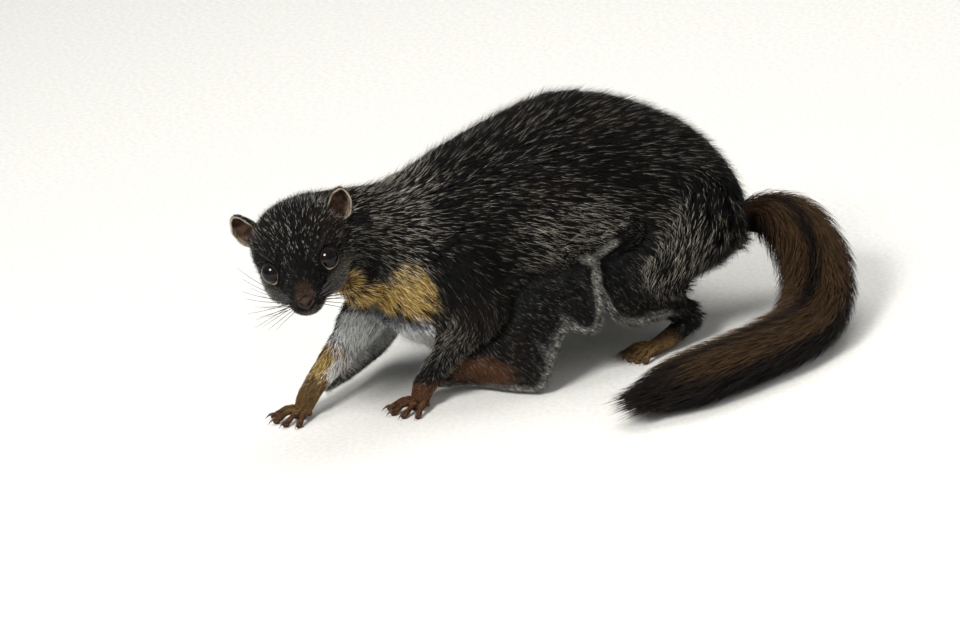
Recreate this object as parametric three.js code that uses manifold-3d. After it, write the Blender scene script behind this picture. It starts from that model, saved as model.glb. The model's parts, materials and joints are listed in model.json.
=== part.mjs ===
// A smoky flying squirrel at life size, standing still, its head turned to its left and its tail on the floor.
// Millimetres. The animal faces -Y, its left side is +X, and +Z is up from the floor that it stands on.
import * as THREE from 'three';
import { mergeVertices } from 'three/addons/utils/BufferGeometryUtils.js';
import Module from 'manifold-3d';

const wasm = await Module();
wasm.setup();

// Places are told as ahead, left and up from a point under the loins, then moved to the box's middle.
const boxMiddle = { ahead: -16.5, left: 35.6 };
const at = (ahead, left, up) => new THREE.Vector3(left - boxMiddle.left, boxMiddle.ahead - ahead, up);
const unitZ = new THREE.Vector3(0, 0, 1);

// Driving sizes
const seamGap = 0.3;
const headScale = 1.08;
const eyeRadius = 5.8;
const cell = { trunk: 13.6, neck: 9, thigh: 9.5, limb: 6.6, head: 4, jaw: 3.2 };

// Where the bones of each limb meet
const limbs = {
  left: {
    shoulder: at(33, 24, 66), elbow: at(25, 36, 44), wrist: at(51, 21, 14), palm: at(60, 24, 3), fan: 14,
    hip: at(-88, 22, 58), knee: at(-52, 35, 34), heel: at(-79, 35, 13), ball: at(-54, 39, 3), splay: 8,
  },
  right: {
    shoulder: at(36, -22, 60), elbow: at(60, -28, 33), wrist: at(97, -9, 13), palm: at(107, -6, 3), fan: 10,
    hip: at(-90, -22, 58), knee: at(-56, -35, 34), heel: at(-87, -35, 13), ball: at(-62, -39, 3), splay: -10,
  },
};

// The trunk's main masses: middle, and half length, half width and half height
const trunk = {
  rump: { middle: at(-81, 0, 57), half: [40, 37, 40] },
  belly: { middle: at(-37, 0, 72), half: [57, 42, 53] },
  chest: { middle: at(20, 0, 63), half: [50, 33, 48] },
};
const neck = { from: at(40, 0, 77), to: at(86, -1, 90), radius: [26, 19] };
const tailRoot = { from: at(-104, 0, 36), to: at(-132, 2, 38), radius: [17, 9] };
const tailStart = at(-122, 0, 37);

// The head's own frame: x to the nose, y to its left and z to its crown, from the middle between the eyes
const headPlace = at(107.5, 24, 82.5);
const headTurn = { yaw: 66, pitch: -7, roll: 9 };

function headMatrix() {
  const [yaw, pitch, roll] = [headTurn.yaw, headTurn.pitch, headTurn.roll].map(THREE.MathUtils.degToRad);
  const level = Math.cos(pitch);
  const ahead = new THREE.Vector3(Math.sin(yaw) * level, -Math.cos(yaw) * level, Math.sin(pitch));
  const left = unitZ.clone().cross(ahead).normalize();
  const basis = new THREE.Matrix4().makeBasis(ahead, left, ahead.clone().cross(left));
  const scale = new THREE.Matrix4().makeScale(headScale, headScale, headScale);
  const tilt = new THREE.Matrix4().makeRotationAxis(ahead, roll);
  return tilt.multiply(basis).multiply(scale).setPosition(headPlace);
}
const headFrame = headMatrix();
const onHead = (x, y, z) => new THREE.Vector3(x, y, z).applyMatrix4(headFrame);
const headWay = (x, y, z) => new THREE.Vector3(x, y, z).transformDirection(headFrame);
const ahead = at(1, 0, 0).sub(at(0, 0, 0));
const bodyFrame = new THREE.Matrix4().makeBasis(ahead, new THREE.Vector3(1, 0, 0), unitZ);

// Distance fields: each is a function of a point, below zero inside the form
function egg(middle, half, frame) {
  const inverse = frame.clone().setPosition(middle).invert();
  const q = new THREE.Vector3();
  return (p) => {
    q.copy(p).applyMatrix4(inverse);
    const a = Math.hypot(q.x / half[0], q.y / half[1], q.z / half[2]);
    const b = Math.hypot(q.x / half[0] ** 2, q.y / half[1] ** 2, q.z / half[2] ** 2);
    return b > 1e-9 ? (a * (a - 1)) / b : -Math.min(...half);
  };
}

function taper(from, to, radiusFrom, radiusTo) {
  const axis = to.clone().sub(from);
  const q = new THREE.Vector3();
  return (p) => {
    q.copy(p).sub(from);
    const t = THREE.MathUtils.clamp(q.dot(axis) / axis.lengthSq(), 0, 1);
    q.addScaledVector(axis, -t);
    return q.length() - THREE.MathUtils.lerp(radiusFrom, radiusTo, t);
  };
}

function blend(fields, soft) {
  return (p) => fields.reduce((d, field) => {
    const e = field(p);
    const h = Math.max(soft - Math.abs(d - e), 0) / soft;
    return Math.min(d, e) - h * h * soft * 0.25;
  }, 1e3);
}

// The flesh of the whole animal but hands, feet, ears and tail, as one smooth field
function headField() {
  const forms = [
    egg(onHead(-15, 0, 5), [21, 21, 20.5], headFrame),
    egg(onHead(-6, 8.5, -5.5), [14, 10, 9.5], headFrame),
    egg(onHead(-6, -8.5, -5.5), [14, 10, 9.5], headFrame),
    egg(onHead(1, 0, 1.5), [12, 8.2, 8], headFrame),
    taper(onHead(4, 0, -1), onHead(18.8, 0, -4.6), 8.6 * headScale, 4.5 * headScale),
    egg(onHead(15.5, 3.2, -6.8), [6.5, 4.2, 4], headFrame),
    egg(onHead(15.5, -3.2, -6.8), [6.5, 4.2, 4], headFrame),
    taper(onHead(-6, 0, -11), onHead(13.5, 0, -9.8), 7.5 * headScale, 3.2 * headScale),
  ];
  return blend(forms, 6);
}

function limbFields(side) {
  const b = limbs[side];
  return [
    taper(b.shoulder, b.elbow, 16, 9.5),
    taper(b.elbow, b.wrist, 9, 5.6),
    taper(b.hip, b.knee, 30, 11.5),
    taper(b.knee, b.heel, 10.5, 6),
  ];
}

const flesh = blend([
  blend(Object.values(trunk).map((m) => egg(m.middle, m.half, bodyFrame)), 30),
  taper(neck.from, neck.to, ...neck.radius),
  taper(tailRoot.from, tailRoot.to, ...tailRoot.radius),
  headField(),
  ...limbFields('left'),
  ...limbFields('right'),
], 9);

// Grids that a skin is made on: a box of even cells, and how its points are placed on the animal
const boxAt = (low, high) => new THREE.Box3(new THREE.Vector3(...low), new THREE.Vector3(...high));

function gridAlong(from, to, margin) {
  const frame = boneFrame(from, to).setPosition(from);
  const length = to.distanceTo(from);
  return {
    box: boxAt([-margin, -margin, -margin], [length + margin, margin, margin]),
    place: (p) => p.applyMatrix4(frame),
  };
}

// The head's cells get smaller towards the nose
const headGrid = {
  box: boxAt([-44, -30, -30], [46, 30, 32]),
  place: (p) => {
    const v = (p.x + 44) / 80;
    const shrink = 1.15 - 0.55 * v;
    return onHead(-44 + 80 * (1.15 * v - 0.275 * v * v), p.y * shrink, p.z * shrink);
  },
};

function boneFrame(from, to) {
  const way = to.clone().sub(from).normalize();
  const up = unitZ.clone().addScaledVector(way, -way.z).normalize();
  return new THREE.Matrix4().makeBasis(way, up.clone().cross(way), up);
}

// The surface of a field as a closed mesh of even cells, with each corner moved onto the true surface
function skinOf(field, grid, size) {
  const low = grid.box.min;
  const count = grid.box.getSize(new THREE.Vector3()).divideScalar(size).ceil().addScalar(1).toArray();
  const place = (c) => grid.place(new THREE.Vector3(...c).multiplyScalar(size).add(low));
  const index = (c) => (c[0] * (count[1] + 1) + c[1]) * (count[2] + 1) + c[2];
  const step = (c, axis, n = 1) => c.map((x, m) => (m === axis ? x + n : x));
  const around = [[0, 1, 2], [1, 2, 0], [2, 0, 1]];
  const each = (from, extra, visit) => {
    for (let i = from; i < count[0] + extra; i += 1) {
      for (let j = from; j < count[1] + extra; j += 1) {
        for (let k = from; k < count[2] + extra; k += 1) visit([i, j, k]);
      }
    }
  };
  const values = [];
  each(0, 1, (c) => {
    const rim = c.some((x, m) => x === 0 || x === count[m]);
    values[index(c)] = Math.max(field(place(c)), rim ? size * 0.4 : -1e3);
  });
  const inside = (c) => values[index(c)] < 0;
  const edge = (c, axis) => index(c) * 3 + axis;
  const crossing = (code) => {
    const [n, axis] = [Math.floor(code / 3), code % 3];
    const k = n % (count[2] + 1);
    const j = Math.floor(n / (count[2] + 1)) % (count[1] + 1);
    const a = [Math.floor(n / (count[2] + 1) / (count[1] + 1)), j, k];
    const b = step(a, axis);
    return place(a).lerp(place(b), values[n] / (values[n] - values[index(b)]));
  };
  const corners = [];
  const cornerOf = new Map();
  each(0, 0, (c) => {
    // Cut edges that one sheet of the surface joins through this cell's faces share a corner
    const sheet = new Map();
    const find = (e) => (sheet.get(e) === e ? e : find(sheet.get(e)));
    around.forEach(([axis, u, v]) => [0, 1].forEach((n) => {
      const base = step(c, axis, n);
      const ring = [base, step(base, u), step(step(base, u), v), step(base, v)];
      const edges = [edge(base, u), edge(ring[1], v), edge(ring[3], u), edge(base, v)];
      const cut = edges.filter((e, m) => inside(ring[m]) !== inside(ring[(m + 1) % 4]));
      cut.forEach((e) => { if (!sheet.has(e)) sheet.set(e, e); });
      if (cut.length === 2) sheet.set(find(cut[0]), find(cut[1]));
      if (cut.length === 4) {
        ring.forEach((q, m) => { if (inside(q)) sheet.set(find(edges[(m + 3) % 4]), find(edges[m])); });
      }
    }));
    const rim = c.some((x, m) => x === 0 || x === count[m] - 1);
    new Set([...sheet.keys()].map(find)).forEach((root) => {
      const own = [...sheet.keys()].filter((e) => find(e) === root);
      const sum = own.reduce((total, e) => total.add(crossing(e)), new THREE.Vector3());
      const middle = sum.divideScalar(own.length);
      corners.push(rim ? middle : settled(middle, field, size));
      own.forEach((e) => cornerOf.set(index(c) + ' ' + e, corners.length - 1));
    });
  });
  const faces = [];
  each(0, 0, (c) => around.forEach(([axis, u, v]) => {
    if (inside(c) === inside(step(c, axis))) return;
    const cells = [c, step(c, u, -1), step(step(c, u, -1), v, -1), step(c, v, -1)];
    const quad = cells.map((b) => cornerOf.get(index(b) + ' ' + edge(c, axis)));
    if (!inside(c)) quad.reverse();
    const [p, q, r, s] = quad.map((n) => corners[n]);
    const order = p.distanceTo(r) < q.distanceTo(s) ? [0, 1, 2, 0, 2, 3] : [1, 2, 3, 1, 3, 0];
    faces.push(...order.map((n) => quad[n]));
  }));
  return solidOf(corners, faces);
}

// A point moved onto the field's surface in short steps down its slope
function settled(start, field, size) {
  const point = start.clone();
  const small = size * 0.05;
  for (let n = 0; n < 4; n += 1) {
    const d = field(point);
    const slope = new THREE.Vector3(...['x', 'y', 'z'].map((k) => {
      const ahead = point.clone();
      ahead[k] += small;
      return (field(ahead) - d) / small;
    }));
    point.addScaledVector(slope, -d / Math.max(slope.lengthSq(), 0.2));
  }
  return point.sub(start).clampLength(0, size * 0.45).add(start);
}

// Closed mesh to solid and back
function solidOf(corners, faces) {
  return new wasm.Manifold(new wasm.Mesh({
    numProp: 3,
    vertProperties: new Float32Array(corners.flatMap((p) => [p.x, p.y, p.z])),
    triVerts: new Uint32Array(faces),
  }));
}

function solid(geometry) {
  const bare = geometry.clone();
  bare.deleteAttribute('normal');
  bare.deleteAttribute('uv');
  const merged = mergeVertices(bare, 1e-4);
  const corners = Array.from({ length: merged.attributes.position.count },
    (_, n) => new THREE.Vector3().fromBufferAttribute(merged.attributes.position, n));
  return solidOf(corners, merged.index.array);
}

function geometryOf(shape) {
  const mesh = shape.getMesh();
  const geometry = new THREE.BufferGeometry();
  geometry.setAttribute('position', new THREE.BufferAttribute(mesh.vertProperties, 3));
  geometry.setIndex(new THREE.BufferAttribute(mesh.triVerts, 1));
  return geometry;
}

const largest = (shape) => shape.decompose().sort((a, b) => b.volume() - a.volume())[0];
const joined = (shapes) => wasm.Manifold.union(shapes);
const without = (shape, cutters) => cutters.reduce((rest, cutter) => rest.subtract(cutter), shape);
const keepSide = (shape, point, normal) => shape.trimByPlane(normal.toArray(), point.dot(normal));
const onFloor = (shape) => shape.trimByPlane([0, 0, 1], 0);

// A closed form swept along a smooth path: rings of half width and half height, and a point at each end
function swept(points, widthAt, heightAt, rings, sides, up, phase = 0.5) {
  const path = new THREE.CatmullRomCurve3(points, false, 'centripetal');
  const corners = [path.getPointAt(0)];
  for (let i = 0; i < rings; i += 1) {
    const t = (i + 0.3) / (rings - 0.4);
    const ahead = path.getTangentAt(t);
    const across = up.clone().cross(ahead).normalize();
    const above = ahead.clone().cross(across);
    for (let j = 0; j < sides; j += 1) {
      const turn = (2 * Math.PI * (j + phase)) / sides;
      corners.push(path.getPointAt(t).addScaledVector(across, Math.cos(turn) * widthAt(t))
        .addScaledVector(above, Math.sin(turn) * heightAt(t)));
    }
  }
  corners.push(path.getPointAt(1));
  const faces = [];
  const last = corners.length - 1;
  for (let j = 0; j < sides; j += 1) {
    const next = (j + 1) % sides;
    faces.push(0, 1 + next, 1 + j);
    faces.push(last, last - sides + j, last - sides + next);
    for (let i = 0; i < rings - 1; i += 1) {
      const a = 1 + i * sides;
      const b = a + sides;
      faces.push(a + j, a + next, b + next, a + j, b + next, b + j);
    }
  }
  return solidOf(corners, faces);
}

function sphereAt(middle, half, frame, around = 14, down = 8) {
  const geometry = new THREE.SphereGeometry(1, around, down).scale(...half);
  geometry.applyMatrix4(frame.clone().setPosition(middle));
  return solid(geometry);
}

// A cone frustum between two points, made longer at each end
function frustum(from, to, radiusFrom, radiusTo, longer, grow) {
  const axis = to.clone().sub(from);
  const length = axis.length() + longer[0] + longer[1] + 2 * grow;
  const geometry = new THREE.CylinderGeometry(radiusTo + grow, radiusFrom + grow, length, 12);
  geometry.translate(0, length / 2 - longer[0] - grow, 0);
  const turn = new THREE.Quaternion().setFromUnitVectors(new THREE.Vector3(0, 1, 0), axis.normalize());
  return solid(geometry.applyQuaternion(turn).translate(...from.toArray()));
}

const group = new THREE.Group();
const taken = [];
const regions = [];
const rooms = [];
function add(name, shape, color) {
  const mesh = new THREE.Mesh(
    geometryOf(largest(shape)),
    new THREE.MeshStandardMaterial({ color, roughness: 0.8, metalness: 0 }),
  );
  mesh.name = name;
  group.add(mesh);
}

const coats = { black: 0x211d19, brown: 0x6b4526, ochre: 0x9c6f33, ear: 0x8a6a52, eye: 0x0a0807,
  claw: 0x2a231c, nose: 0x7d5b4a, tail: 0x4a3320, edge: 0x9a968c };

// One node of flesh: the smooth body inside a cutter, less what is already taken
function fleshNode(name, cutterOf, grid, size, color) {
  const made = skinOf(flesh, grid, size).intersect(cutterOf(0));
  const rest = taken.reduce((shape, cutter) => shape.subtract(cutter), made);
  taken.push(cutterOf(seamGap));
  regions.push(cutterOf(0));
  rooms.push(skinOf((p) => flesh(p) - seamGap, grid, size).intersect(cutterOf(seamGap)));
  add(name, rest, color);
}

// The gliding skin: a sheet from limb and flank down to a rolled free edge, told as pairs of places along it
const flaps = {
  left: {
    bound: [[49, 22, 15], [42, 26, 22], [36, 30, 29], [29, 32, 37], [22, 33, 44], [14, 33, 50], [6, 33, 55],
      [-2, 33, 58], [-12, 33, 60], [-20, 33, 60], [-27, 33, 60], [-34, 33, 58], [-42, 33, 55], [-52, 33, 46],
      [-62, 34, 34], [-73, 35, 23]],
    free: [[50, 20, 9], [38, 18, 6], [28, 22, 5], [18, 38, 4.5], [8, 49, 4.5], [4, 51, 12], [-2, 50, 24],
      [-9, 48, 30], [-18, 51, 25], [-25, 51, 28], [-29, 47, 44], [-34, 49, 28], [-42, 49, 23], [-54, 46, 21],
      [-64, 41, 20], [-74, 37, 18]],
    stations: 25,
  },
  right: {
    bound: [[89, -15, 15], [78, -20, 24], [66, -25, 33], [56, -27, 42], [42, -28, 48], [24, -28, 52],
      [4, -30, 57], [-20, -32, 60], [-36, -32, 58], [-52, -33, 46], [-64, -35, 34], [-75, -36, 24]],
    free: [[90, -13, 9], [74, -22, 9], [58, -34, 9], [44, -44, 10], [34, -48, 18], [20, -48, 27],
      [2, -50, 29], [-20, -51, 28], [-40, -50, 25], [-54, -46, 22], [-66, -42, 20], [-76, -38, 18]],
    stations: 14,
  },
};

function flap(side) {
  const out = new THREE.Vector3(side === 'left' ? 1 : -1, 0, 0);
  const line = (places) => new THREE.CatmullRomCurve3(places.map((p) => at(...p)), false, 'centripetal');
  const [bound, free] = [line(flaps[side].bound), line(flaps[side].free)];
  const stations = flaps[side].stations;
  const web = 1.1;
  const rim = 2.2;
  // Each section goes down the outer face, round the rolled edge and up the inner face
  const section = [[0, web], [0.5, web]];
  const roll = [40, -30, -90, -150, -220];
  const corners = [];
  for (let i = 0; i < stations; i += 1) {
    const t = i / (stations - 1);
    const [top, low] = [bound.getPoint(t), free.getPoint(t)];
    const down = low.clone().sub(top);
    const along = free.getTangent(t);
    const face = down.clone().cross(along).normalize();
    if (face.dot(out) < 0) face.negate();
    const bulge = (s) => Math.sin(Math.PI * s) * 3 + Math.sin(t * 50) * s * (1 - s) * 2.4;
    const on = (s, side2) => top.clone().addScaledVector(down, s).addScaledVector(face, bulge(s) + side2);
    section.forEach(([s, thick]) => corners.push(on(s, thick)));
    const way = down.clone().normalize();
    roll.forEach((angle) => {
      const turn = THREE.MathUtils.degToRad(angle);
      corners.push(low.clone().addScaledVector(face, Math.cos(turn) * rim)
        .addScaledVector(way, -Math.sin(turn) * rim));
    });
    section.slice().reverse().forEach(([s, thick]) => corners.push(on(s, -thick)));
  }
  const sides = section.length * 2 + roll.length;
  const faces = [];
  for (let i = 0; i < stations - 1; i += 1) {
    for (let j = 0; j < sides; j += 1) {
      const [a, b] = [i * sides + j, i * sides + ((j + 1) % sides)];
      faces.push(a, b, b + sides, a, b + sides, a + sides);
    }
  }
  [0, stations - 1].forEach((i) => {
    const middle = new THREE.Vector3();
    for (let j = 0; j < sides; j += 1) middle.add(corners[i * sides + j]);
    corners.push(middle.divideScalar(sides));
    for (let j = 0; j < sides; j += 1) {
      const [a, b] = [i * sides + j, i * sides + ((j + 1) % sides)];
      faces.push(corners.length - 1, ...(i ? [a, b] : [b, a]));
    }
  });
  const shape = solidOf(corners, faces);
  return shape.volume() < 0 ? solidOf(corners, faces.reverse()) : shape;
}

// A claw from inside the digit's end, over it and down, kept off the floor
function claw(tip, ahead, grow) {
  const path = [[-2, 2.1], [0.6, 2.8], [2.2, 2.3], [3.3, 0.9]]
    .map(([far, up]) => tip.clone().setZ(up).addScaledVector(ahead, far * (1 + grow * 0.1)));
  return swept(path, (t) => 0.8 - 0.6 * t + grow, (t) => 1.1 - 0.85 * t + grow, 3, 4, unitZ);
}

// A hand or foot: the sole and its digits as one body, with each claw in a socket of its own
function pawNodes(side, kind) {
  const b = limbs[side];
  const hand = kind === 'hand';
  const [joint, ball, turn] = hand ? [b.wrist, b.palm, b.fan] : [b.heel, b.ball, b.splay];
  const before = hand ? b.elbow : b.knee;
  const way = THREE.MathUtils.degToRad(turn);
  const ahead = new THREE.Vector3(Math.sin(way), -Math.cos(way), 0);
  const across = unitZ.clone().cross(ahead);
  const start = joint.clone().lerp(before, 0.16);
  const middle = joint.clone().lerp(ball, 0.45).add(new THREE.Vector3(0, 0, hand ? 0.5 : -2.6));
  const front = ball.clone().addScaledVector(ahead, 4).setZ(3);
  const wide = hand ? [5.2, 5.6, 7.2, 5] : [5.6, 5.4, 7.4, 5.4];
  const thick = hand ? [5, 4.2, 3.8, 2.4] : [5.6, 5, 3.8, 2.6];
  const along = (list) => (t) => {
    const n = Math.min(Math.floor(t * 3), 2);
    return THREE.MathUtils.lerp(list[n], list[n + 1], t * 3 - n);
  };
  const sole = (g) => swept([start, joint, middle, ball, front], (t) => along(wide)(t) + g,
    (t) => along(thick)(t) + g, 5, 8, unitZ);
  rooms.push(sole(seamGap));
  const parts = [sole(0)];
  const count = hand ? 4 : 5;
  const reach = hand ? 15 : 14.5;
  const fan = hand ? 27 : 15;
  const claws = [];
  for (let n = 0; n < count; n += 1) {
    const u = (2 * n) / (count - 1) - 1;
    const dir = ahead.clone().applyAxisAngle(unitZ, THREE.MathUtils.degToRad(u * fan));
    const length = reach * (1 - 0.16 * u * u - 0.03 * u);
    const aside = u * (hand ? 4.8 : 5.6);
    const root = ball.clone().addScaledVector(across, aside).addScaledVector(ahead, -2).setZ(3.6);
    const tip = root.clone().addScaledVector(dir, length).setZ(0.8);
    const path = [root, root.clone().lerp(tip, 0.45).setZ(4.4), root.clone().lerp(tip, 0.78).setZ(2), tip];
    const girth = (t) => 1.75 + 0.35 * Math.cos(t * 9) * t;
    parts.push(swept(path, girth, (t) => girth(t) * 1.05, 4, 5, unitZ));
    claws.push({ tip, dir });
  }
  const rest = [...taken, ...claws.map((c) => claw(c.tip, c.dir, seamGap))]
    .reduce((shape, cutter) => shape.subtract(cutter), onFloor(joined(parts)));
  add(kind + '_' + side, rest, hand ? coats.brown : coats.ochre);
  claws.forEach((c, n) => add(`claw_${kind}_${side}_${n + 1}`, claw(c.tip, c.dir, 0), coats.claw));
}

function limbNodes(side) {
  const b = limbs[side];
  const out = new THREE.Vector3(side === 'left' ? 1 : -1, 0, 0);
  const armMiddle = b.shoulder.clone().lerp(b.elbow, 0.5).addScaledVector(out, 8);
  const thighMiddle = b.hip.clone().lerp(b.knee, 0.5).addScaledVector(out, 12);
  fleshNode('forearm_' + side, (g) => frustum(b.elbow, b.wrist, 12, 9, [-2, 0], g),
    gridAlong(b.elbow, b.wrist, 15), cell.limb, coats.black);
  fleshNode('shank_' + side, (g) => frustum(b.knee, b.heel, 15, 9, [-4, 0], g),
    gridAlong(b.knee, b.heel, 17), cell.limb, coats.black);
  pawNodes(side, 'hand');
  pawNodes(side, 'foot');
  fleshNode('upper_arm_' + side, (g) => sphereAt(armMiddle, [26 + g, 16 + g, 17 + g],
    boneFrame(b.shoulder, b.elbow)), gridAlong(b.shoulder, b.elbow, 26), cell.thigh, coats.black);
  fleshNode('thigh_' + side, (g) => sphereAt(thighMiddle, [43 + g, 22 + g, 27 + g],
    boneFrame(b.hip, b.knee)), gridAlong(b.hip, b.knee, 40), cell.thigh, coats.black);
}

// Ears: a bowl with its open side ahead and outward, set in the head; half sizes in the head's own measure
const ear = { foot: [-20, 18.5, 11], half: [4.6, 6.6, 9], rise: 6 };

function earFrame(s) {
  const up = headWay(-0.12, 0.42 * s, 0.9).normalize();
  const facing = headWay(0.8, 0.6 * s, 0.05);
  facing.addScaledVector(up, -facing.dot(up)).normalize();
  const basis = new THREE.Matrix4().makeBasis(facing, up.clone().cross(facing), up);
  const foot = onHead(ear.foot[0], ear.foot[1] * s, ear.foot[2]);
  return { up, facing, basis, middle: foot.addScaledVector(up, ear.rise) };
}

function earShape(s) {
  const e = earFrame(s);
  const [deep, wide, tall] = ear.half;
  const inFront = (mm) => e.middle.clone().addScaledVector(e.facing, mm);
  const outer = sphereAt(e.middle, [deep, wide, tall], e.basis, 12, 8);
  const bowl = sphereAt(inFront(1.1), [deep - 0.2, wide - 0.8, tall - 0.8], e.basis, 12, 8);
  return keepSide(outer, inFront(0.7), e.facing.clone().negate()).subtract(bowl);
}

// Eyes: a ball behind a ring of lid
const eye = { place: [1.6, 11.6, 4], look: [0.5, 0.84, 0.2] };

function eyeBall(s, grow) {
  const middle = onHead(eye.place[0], eye.place[1] * s, eye.place[2]);
  return sphereAt(middle, Array(3).fill(eyeRadius + grow), bodyFrame, 12, 8);
}

function lidRing(s) {
  const look = headWay(eye.look[0], eye.look[1] * s, eye.look[2]).normalize();
  const up = headWay(0, 0, 1).addScaledVector(look, -headWay(0, 0, 1).dot(look)).normalize();
  const ring = new THREE.TorusGeometry(5.6, 1.7, 5, 14).scale(1.06, 0.94, 1);
  ring.applyMatrix4(new THREE.Matrix4().makeBasis(up.clone().cross(look), up, look));
  const middle = onHead(eye.place[0], eye.place[1] * s, eye.place[2]).addScaledVector(look, 1);
  return solid(ring.translate(...middle.toArray()));
}

function headNodes() {
  const nose = (g) => sphereAt(onHead(22.6, 0, -4), [2.6 + g, 3.5 + g, 2.5 + g], headFrame, 10, 6);
  const nostril = (s) => sphereAt(onHead(24.6, 1.9 * s, -4.4), [1.8, 0.85, 1], headFrame, 6, 5);
  add('nose', nose(0).subtract(nostril(1)).subtract(nostril(-1)), coats.nose);
  taken.push(nose(seamGap));
  [['left', 1], ['right', -1]].forEach(([side, s]) => {
    const e = earFrame(s);
    add('ear_' + side, earShape(s), coats.ear);
    taken.push(sphereAt(e.middle, ear.half.map((h) => h + seamGap), e.basis, 12, 8));
    add('eye_' + side, eyeBall(s, 0), coats.eye);
  });
  const jawGrid = { box: boxAt([-10, -12, -28], [26, 12, 4]), place: (p) => onHead(p.x, p.y, p.z) };
  const jaw = (g) => sphereAt(onHead(8.5, 0, -15.4), [13.5 + g, 8.5 + g, 6.2 + g], headFrame);
  fleshNode('jaw', jaw, jawGrid, cell.jaw, coats.black);
  const region = (g) => sphereAt(onHead(-8, 0, 0), [36 + g, 31 + g, 31 + g], headFrame, 18, 10);
  const skull = joined([skinOf(flesh, headGrid, cell.head), lidRing(1), lidRing(-1)]);
  const cutters = [...taken, eyeBall(1, seamGap), eyeBall(-1, seamGap)];
  add('head', without(skull.intersect(region(0)), cutters), coats.black);
  taken.push(region(seamGap));
  regions.push(region(0));
}

headNodes();
limbNodes('left');
limbNodes('right');
fleshNode('neck', (g) => frustum(at(50, 0, 76), at(118, -3, 96), 40, 38, [0, 0], g),
  gridAlong(at(50, 0, 76), at(106, -3, 92), 40), cell.neck, coats.black);

// The torso is what is left of the body, and each flap ends at its side
const trunkGrid = {
  box: boxAt([-140, -56, 0], [86, 56, 136]),
  place: (p) => at(p.x, p.y, p.z),
};
const torso = without(skinOf(flesh, trunkGrid, cell.trunk), taken);
add('torso', keepSide(torso, tailStart, ahead), coats.black);
const torsoRoom = keepSide(without(skinOf((p) => flesh(p) - seamGap, trunkGrid, cell.trunk), regions),
  tailStart.clone().addScaledVector(ahead, -seamGap), ahead);
rooms.push(torsoRoom);
['left', 'right'].forEach((side) => add('patagium_' + side, without(flap(side), rooms), coats.edge));

// The tail: a slim core on a curve from the rump to the floor, and a long coat of flat locks that grow from it
const tailPath = [at(-112, 0, 36), at(-126, 1, 39), at(-135, 8, 42), at(-141, 24, 38), at(-140, 46, 25),
  at(-129, 68, 15), at(-112, 88, 12), at(-84, 101, 12), at(-52, 109, 12), at(-14, 115, 11)];
const tailCurve = new THREE.CatmullRomCurve3(tailPath, false, 'centripetal');
const curveLength = tailCurve.getLength();
const coat = { wide: 19.5, thick: 13.2, core: 0.46, reach: 33, rowStep: 22.5, around: 6 };
const coatGirth = (mm) => {
  const t = mm / curveLength;
  return Math.min(1, 0.42 + t * 3.2) * Math.sqrt(Math.max(0.02, Math.min(1, (1.04 - t) * 3.2)));
};

// A place in the tail's coat: how far along, which way round, and how far out of it (1 at the locks' tips)
function inCoat(mm, angle, out) {
  const t = Math.min(mm / curveLength, 1);
  const way = tailCurve.getTangentAt(t);
  const across = unitZ.clone().cross(way).normalize();
  const above = way.clone().cross(across);
  const girth = coatGirth(Math.min(mm, curveLength)) * out;
  return tailCurve.getPointAt(t).addScaledVector(way, Math.max(mm - curveLength, 0))
    .addScaledVector(across, Math.cos(angle) * coat.wide * girth)
    .addScaledVector(above, Math.sin(angle) * coat.thick * girth);
}

let seed = 7;
function chance(low, high) {
  seed = (seed * 16807) % 2147483647;
  return low + (high - low) * (seed / 2147483647);
}

function lock(mm, angle) {
  const girth = coatGirth(mm);
  const reach = coat.reach * (0.55 + 0.45 * girth) * chance(0.9, 1.08);
  const turn = chance(-0.1, 0.1);
  const tip = chance(0.94, 1.04);
  const path = [[0, 0.26], [0.35, 0.26 + 0.4 * tip], [0.7, 0.8 * tip], [1, tip]]
    .map(([part, out]) => inCoat(mm + reach * part, angle + turn * part, out));
  const outward = inCoat(mm + reach * 0.5, angle, 1).sub(inCoat(mm + reach * 0.5, angle, 0)).normalize();
  const wide = (2 + 6.6 * girth) * chance(0.92, 1.06);
  return swept(path, (t) => wide * (0.42 + 2.1 * t - 2.25 * t * t), (t) => 1.7 - 1.1 * t, 3, 4, outward);
}

const tailCuts = [10, 0.37 * curveLength, 0.7 * curveLength, curveLength];

// What lies ahead of a slanting cut that follows the locks' lie, and what lies behind it
function coatAhead(mm, gap) {
  const t = mm / curveLength;
  const way = tailCurve.getTangentAt(t);
  const across = unitZ.clone().cross(way).normalize();
  const length = 62;
  const spread = (coatGirth(mm) * 0.76 * length) / coat.reach;
  const cone = new THREE.CylinderGeometry(spread, 0.001, length, 16).translate(0, length / 2, 0);
  cone.scale(coat.wide, 1, coat.thick);
  cone.applyMatrix4(new THREE.Matrix4().makeBasis(across, way, across.clone().cross(way)));
  return solid(cone.translate(...tailCurve.getPointAt(t).addScaledVector(way, -13 - 2 * gap).toArray()));
}

function coatBehind(mm, gap) {
  const t = mm / curveLength;
  const way = tailCurve.getTangentAt(t);
  const middle = tailCurve.getPointAt(t);
  const round = frustum(middle.clone().addScaledVector(way, -34), middle.clone().addScaledVector(way, 34), 36, 36,
    [0, 0], 0);
  return round.subtract(coatAhead(mm, -gap));
}

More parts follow.
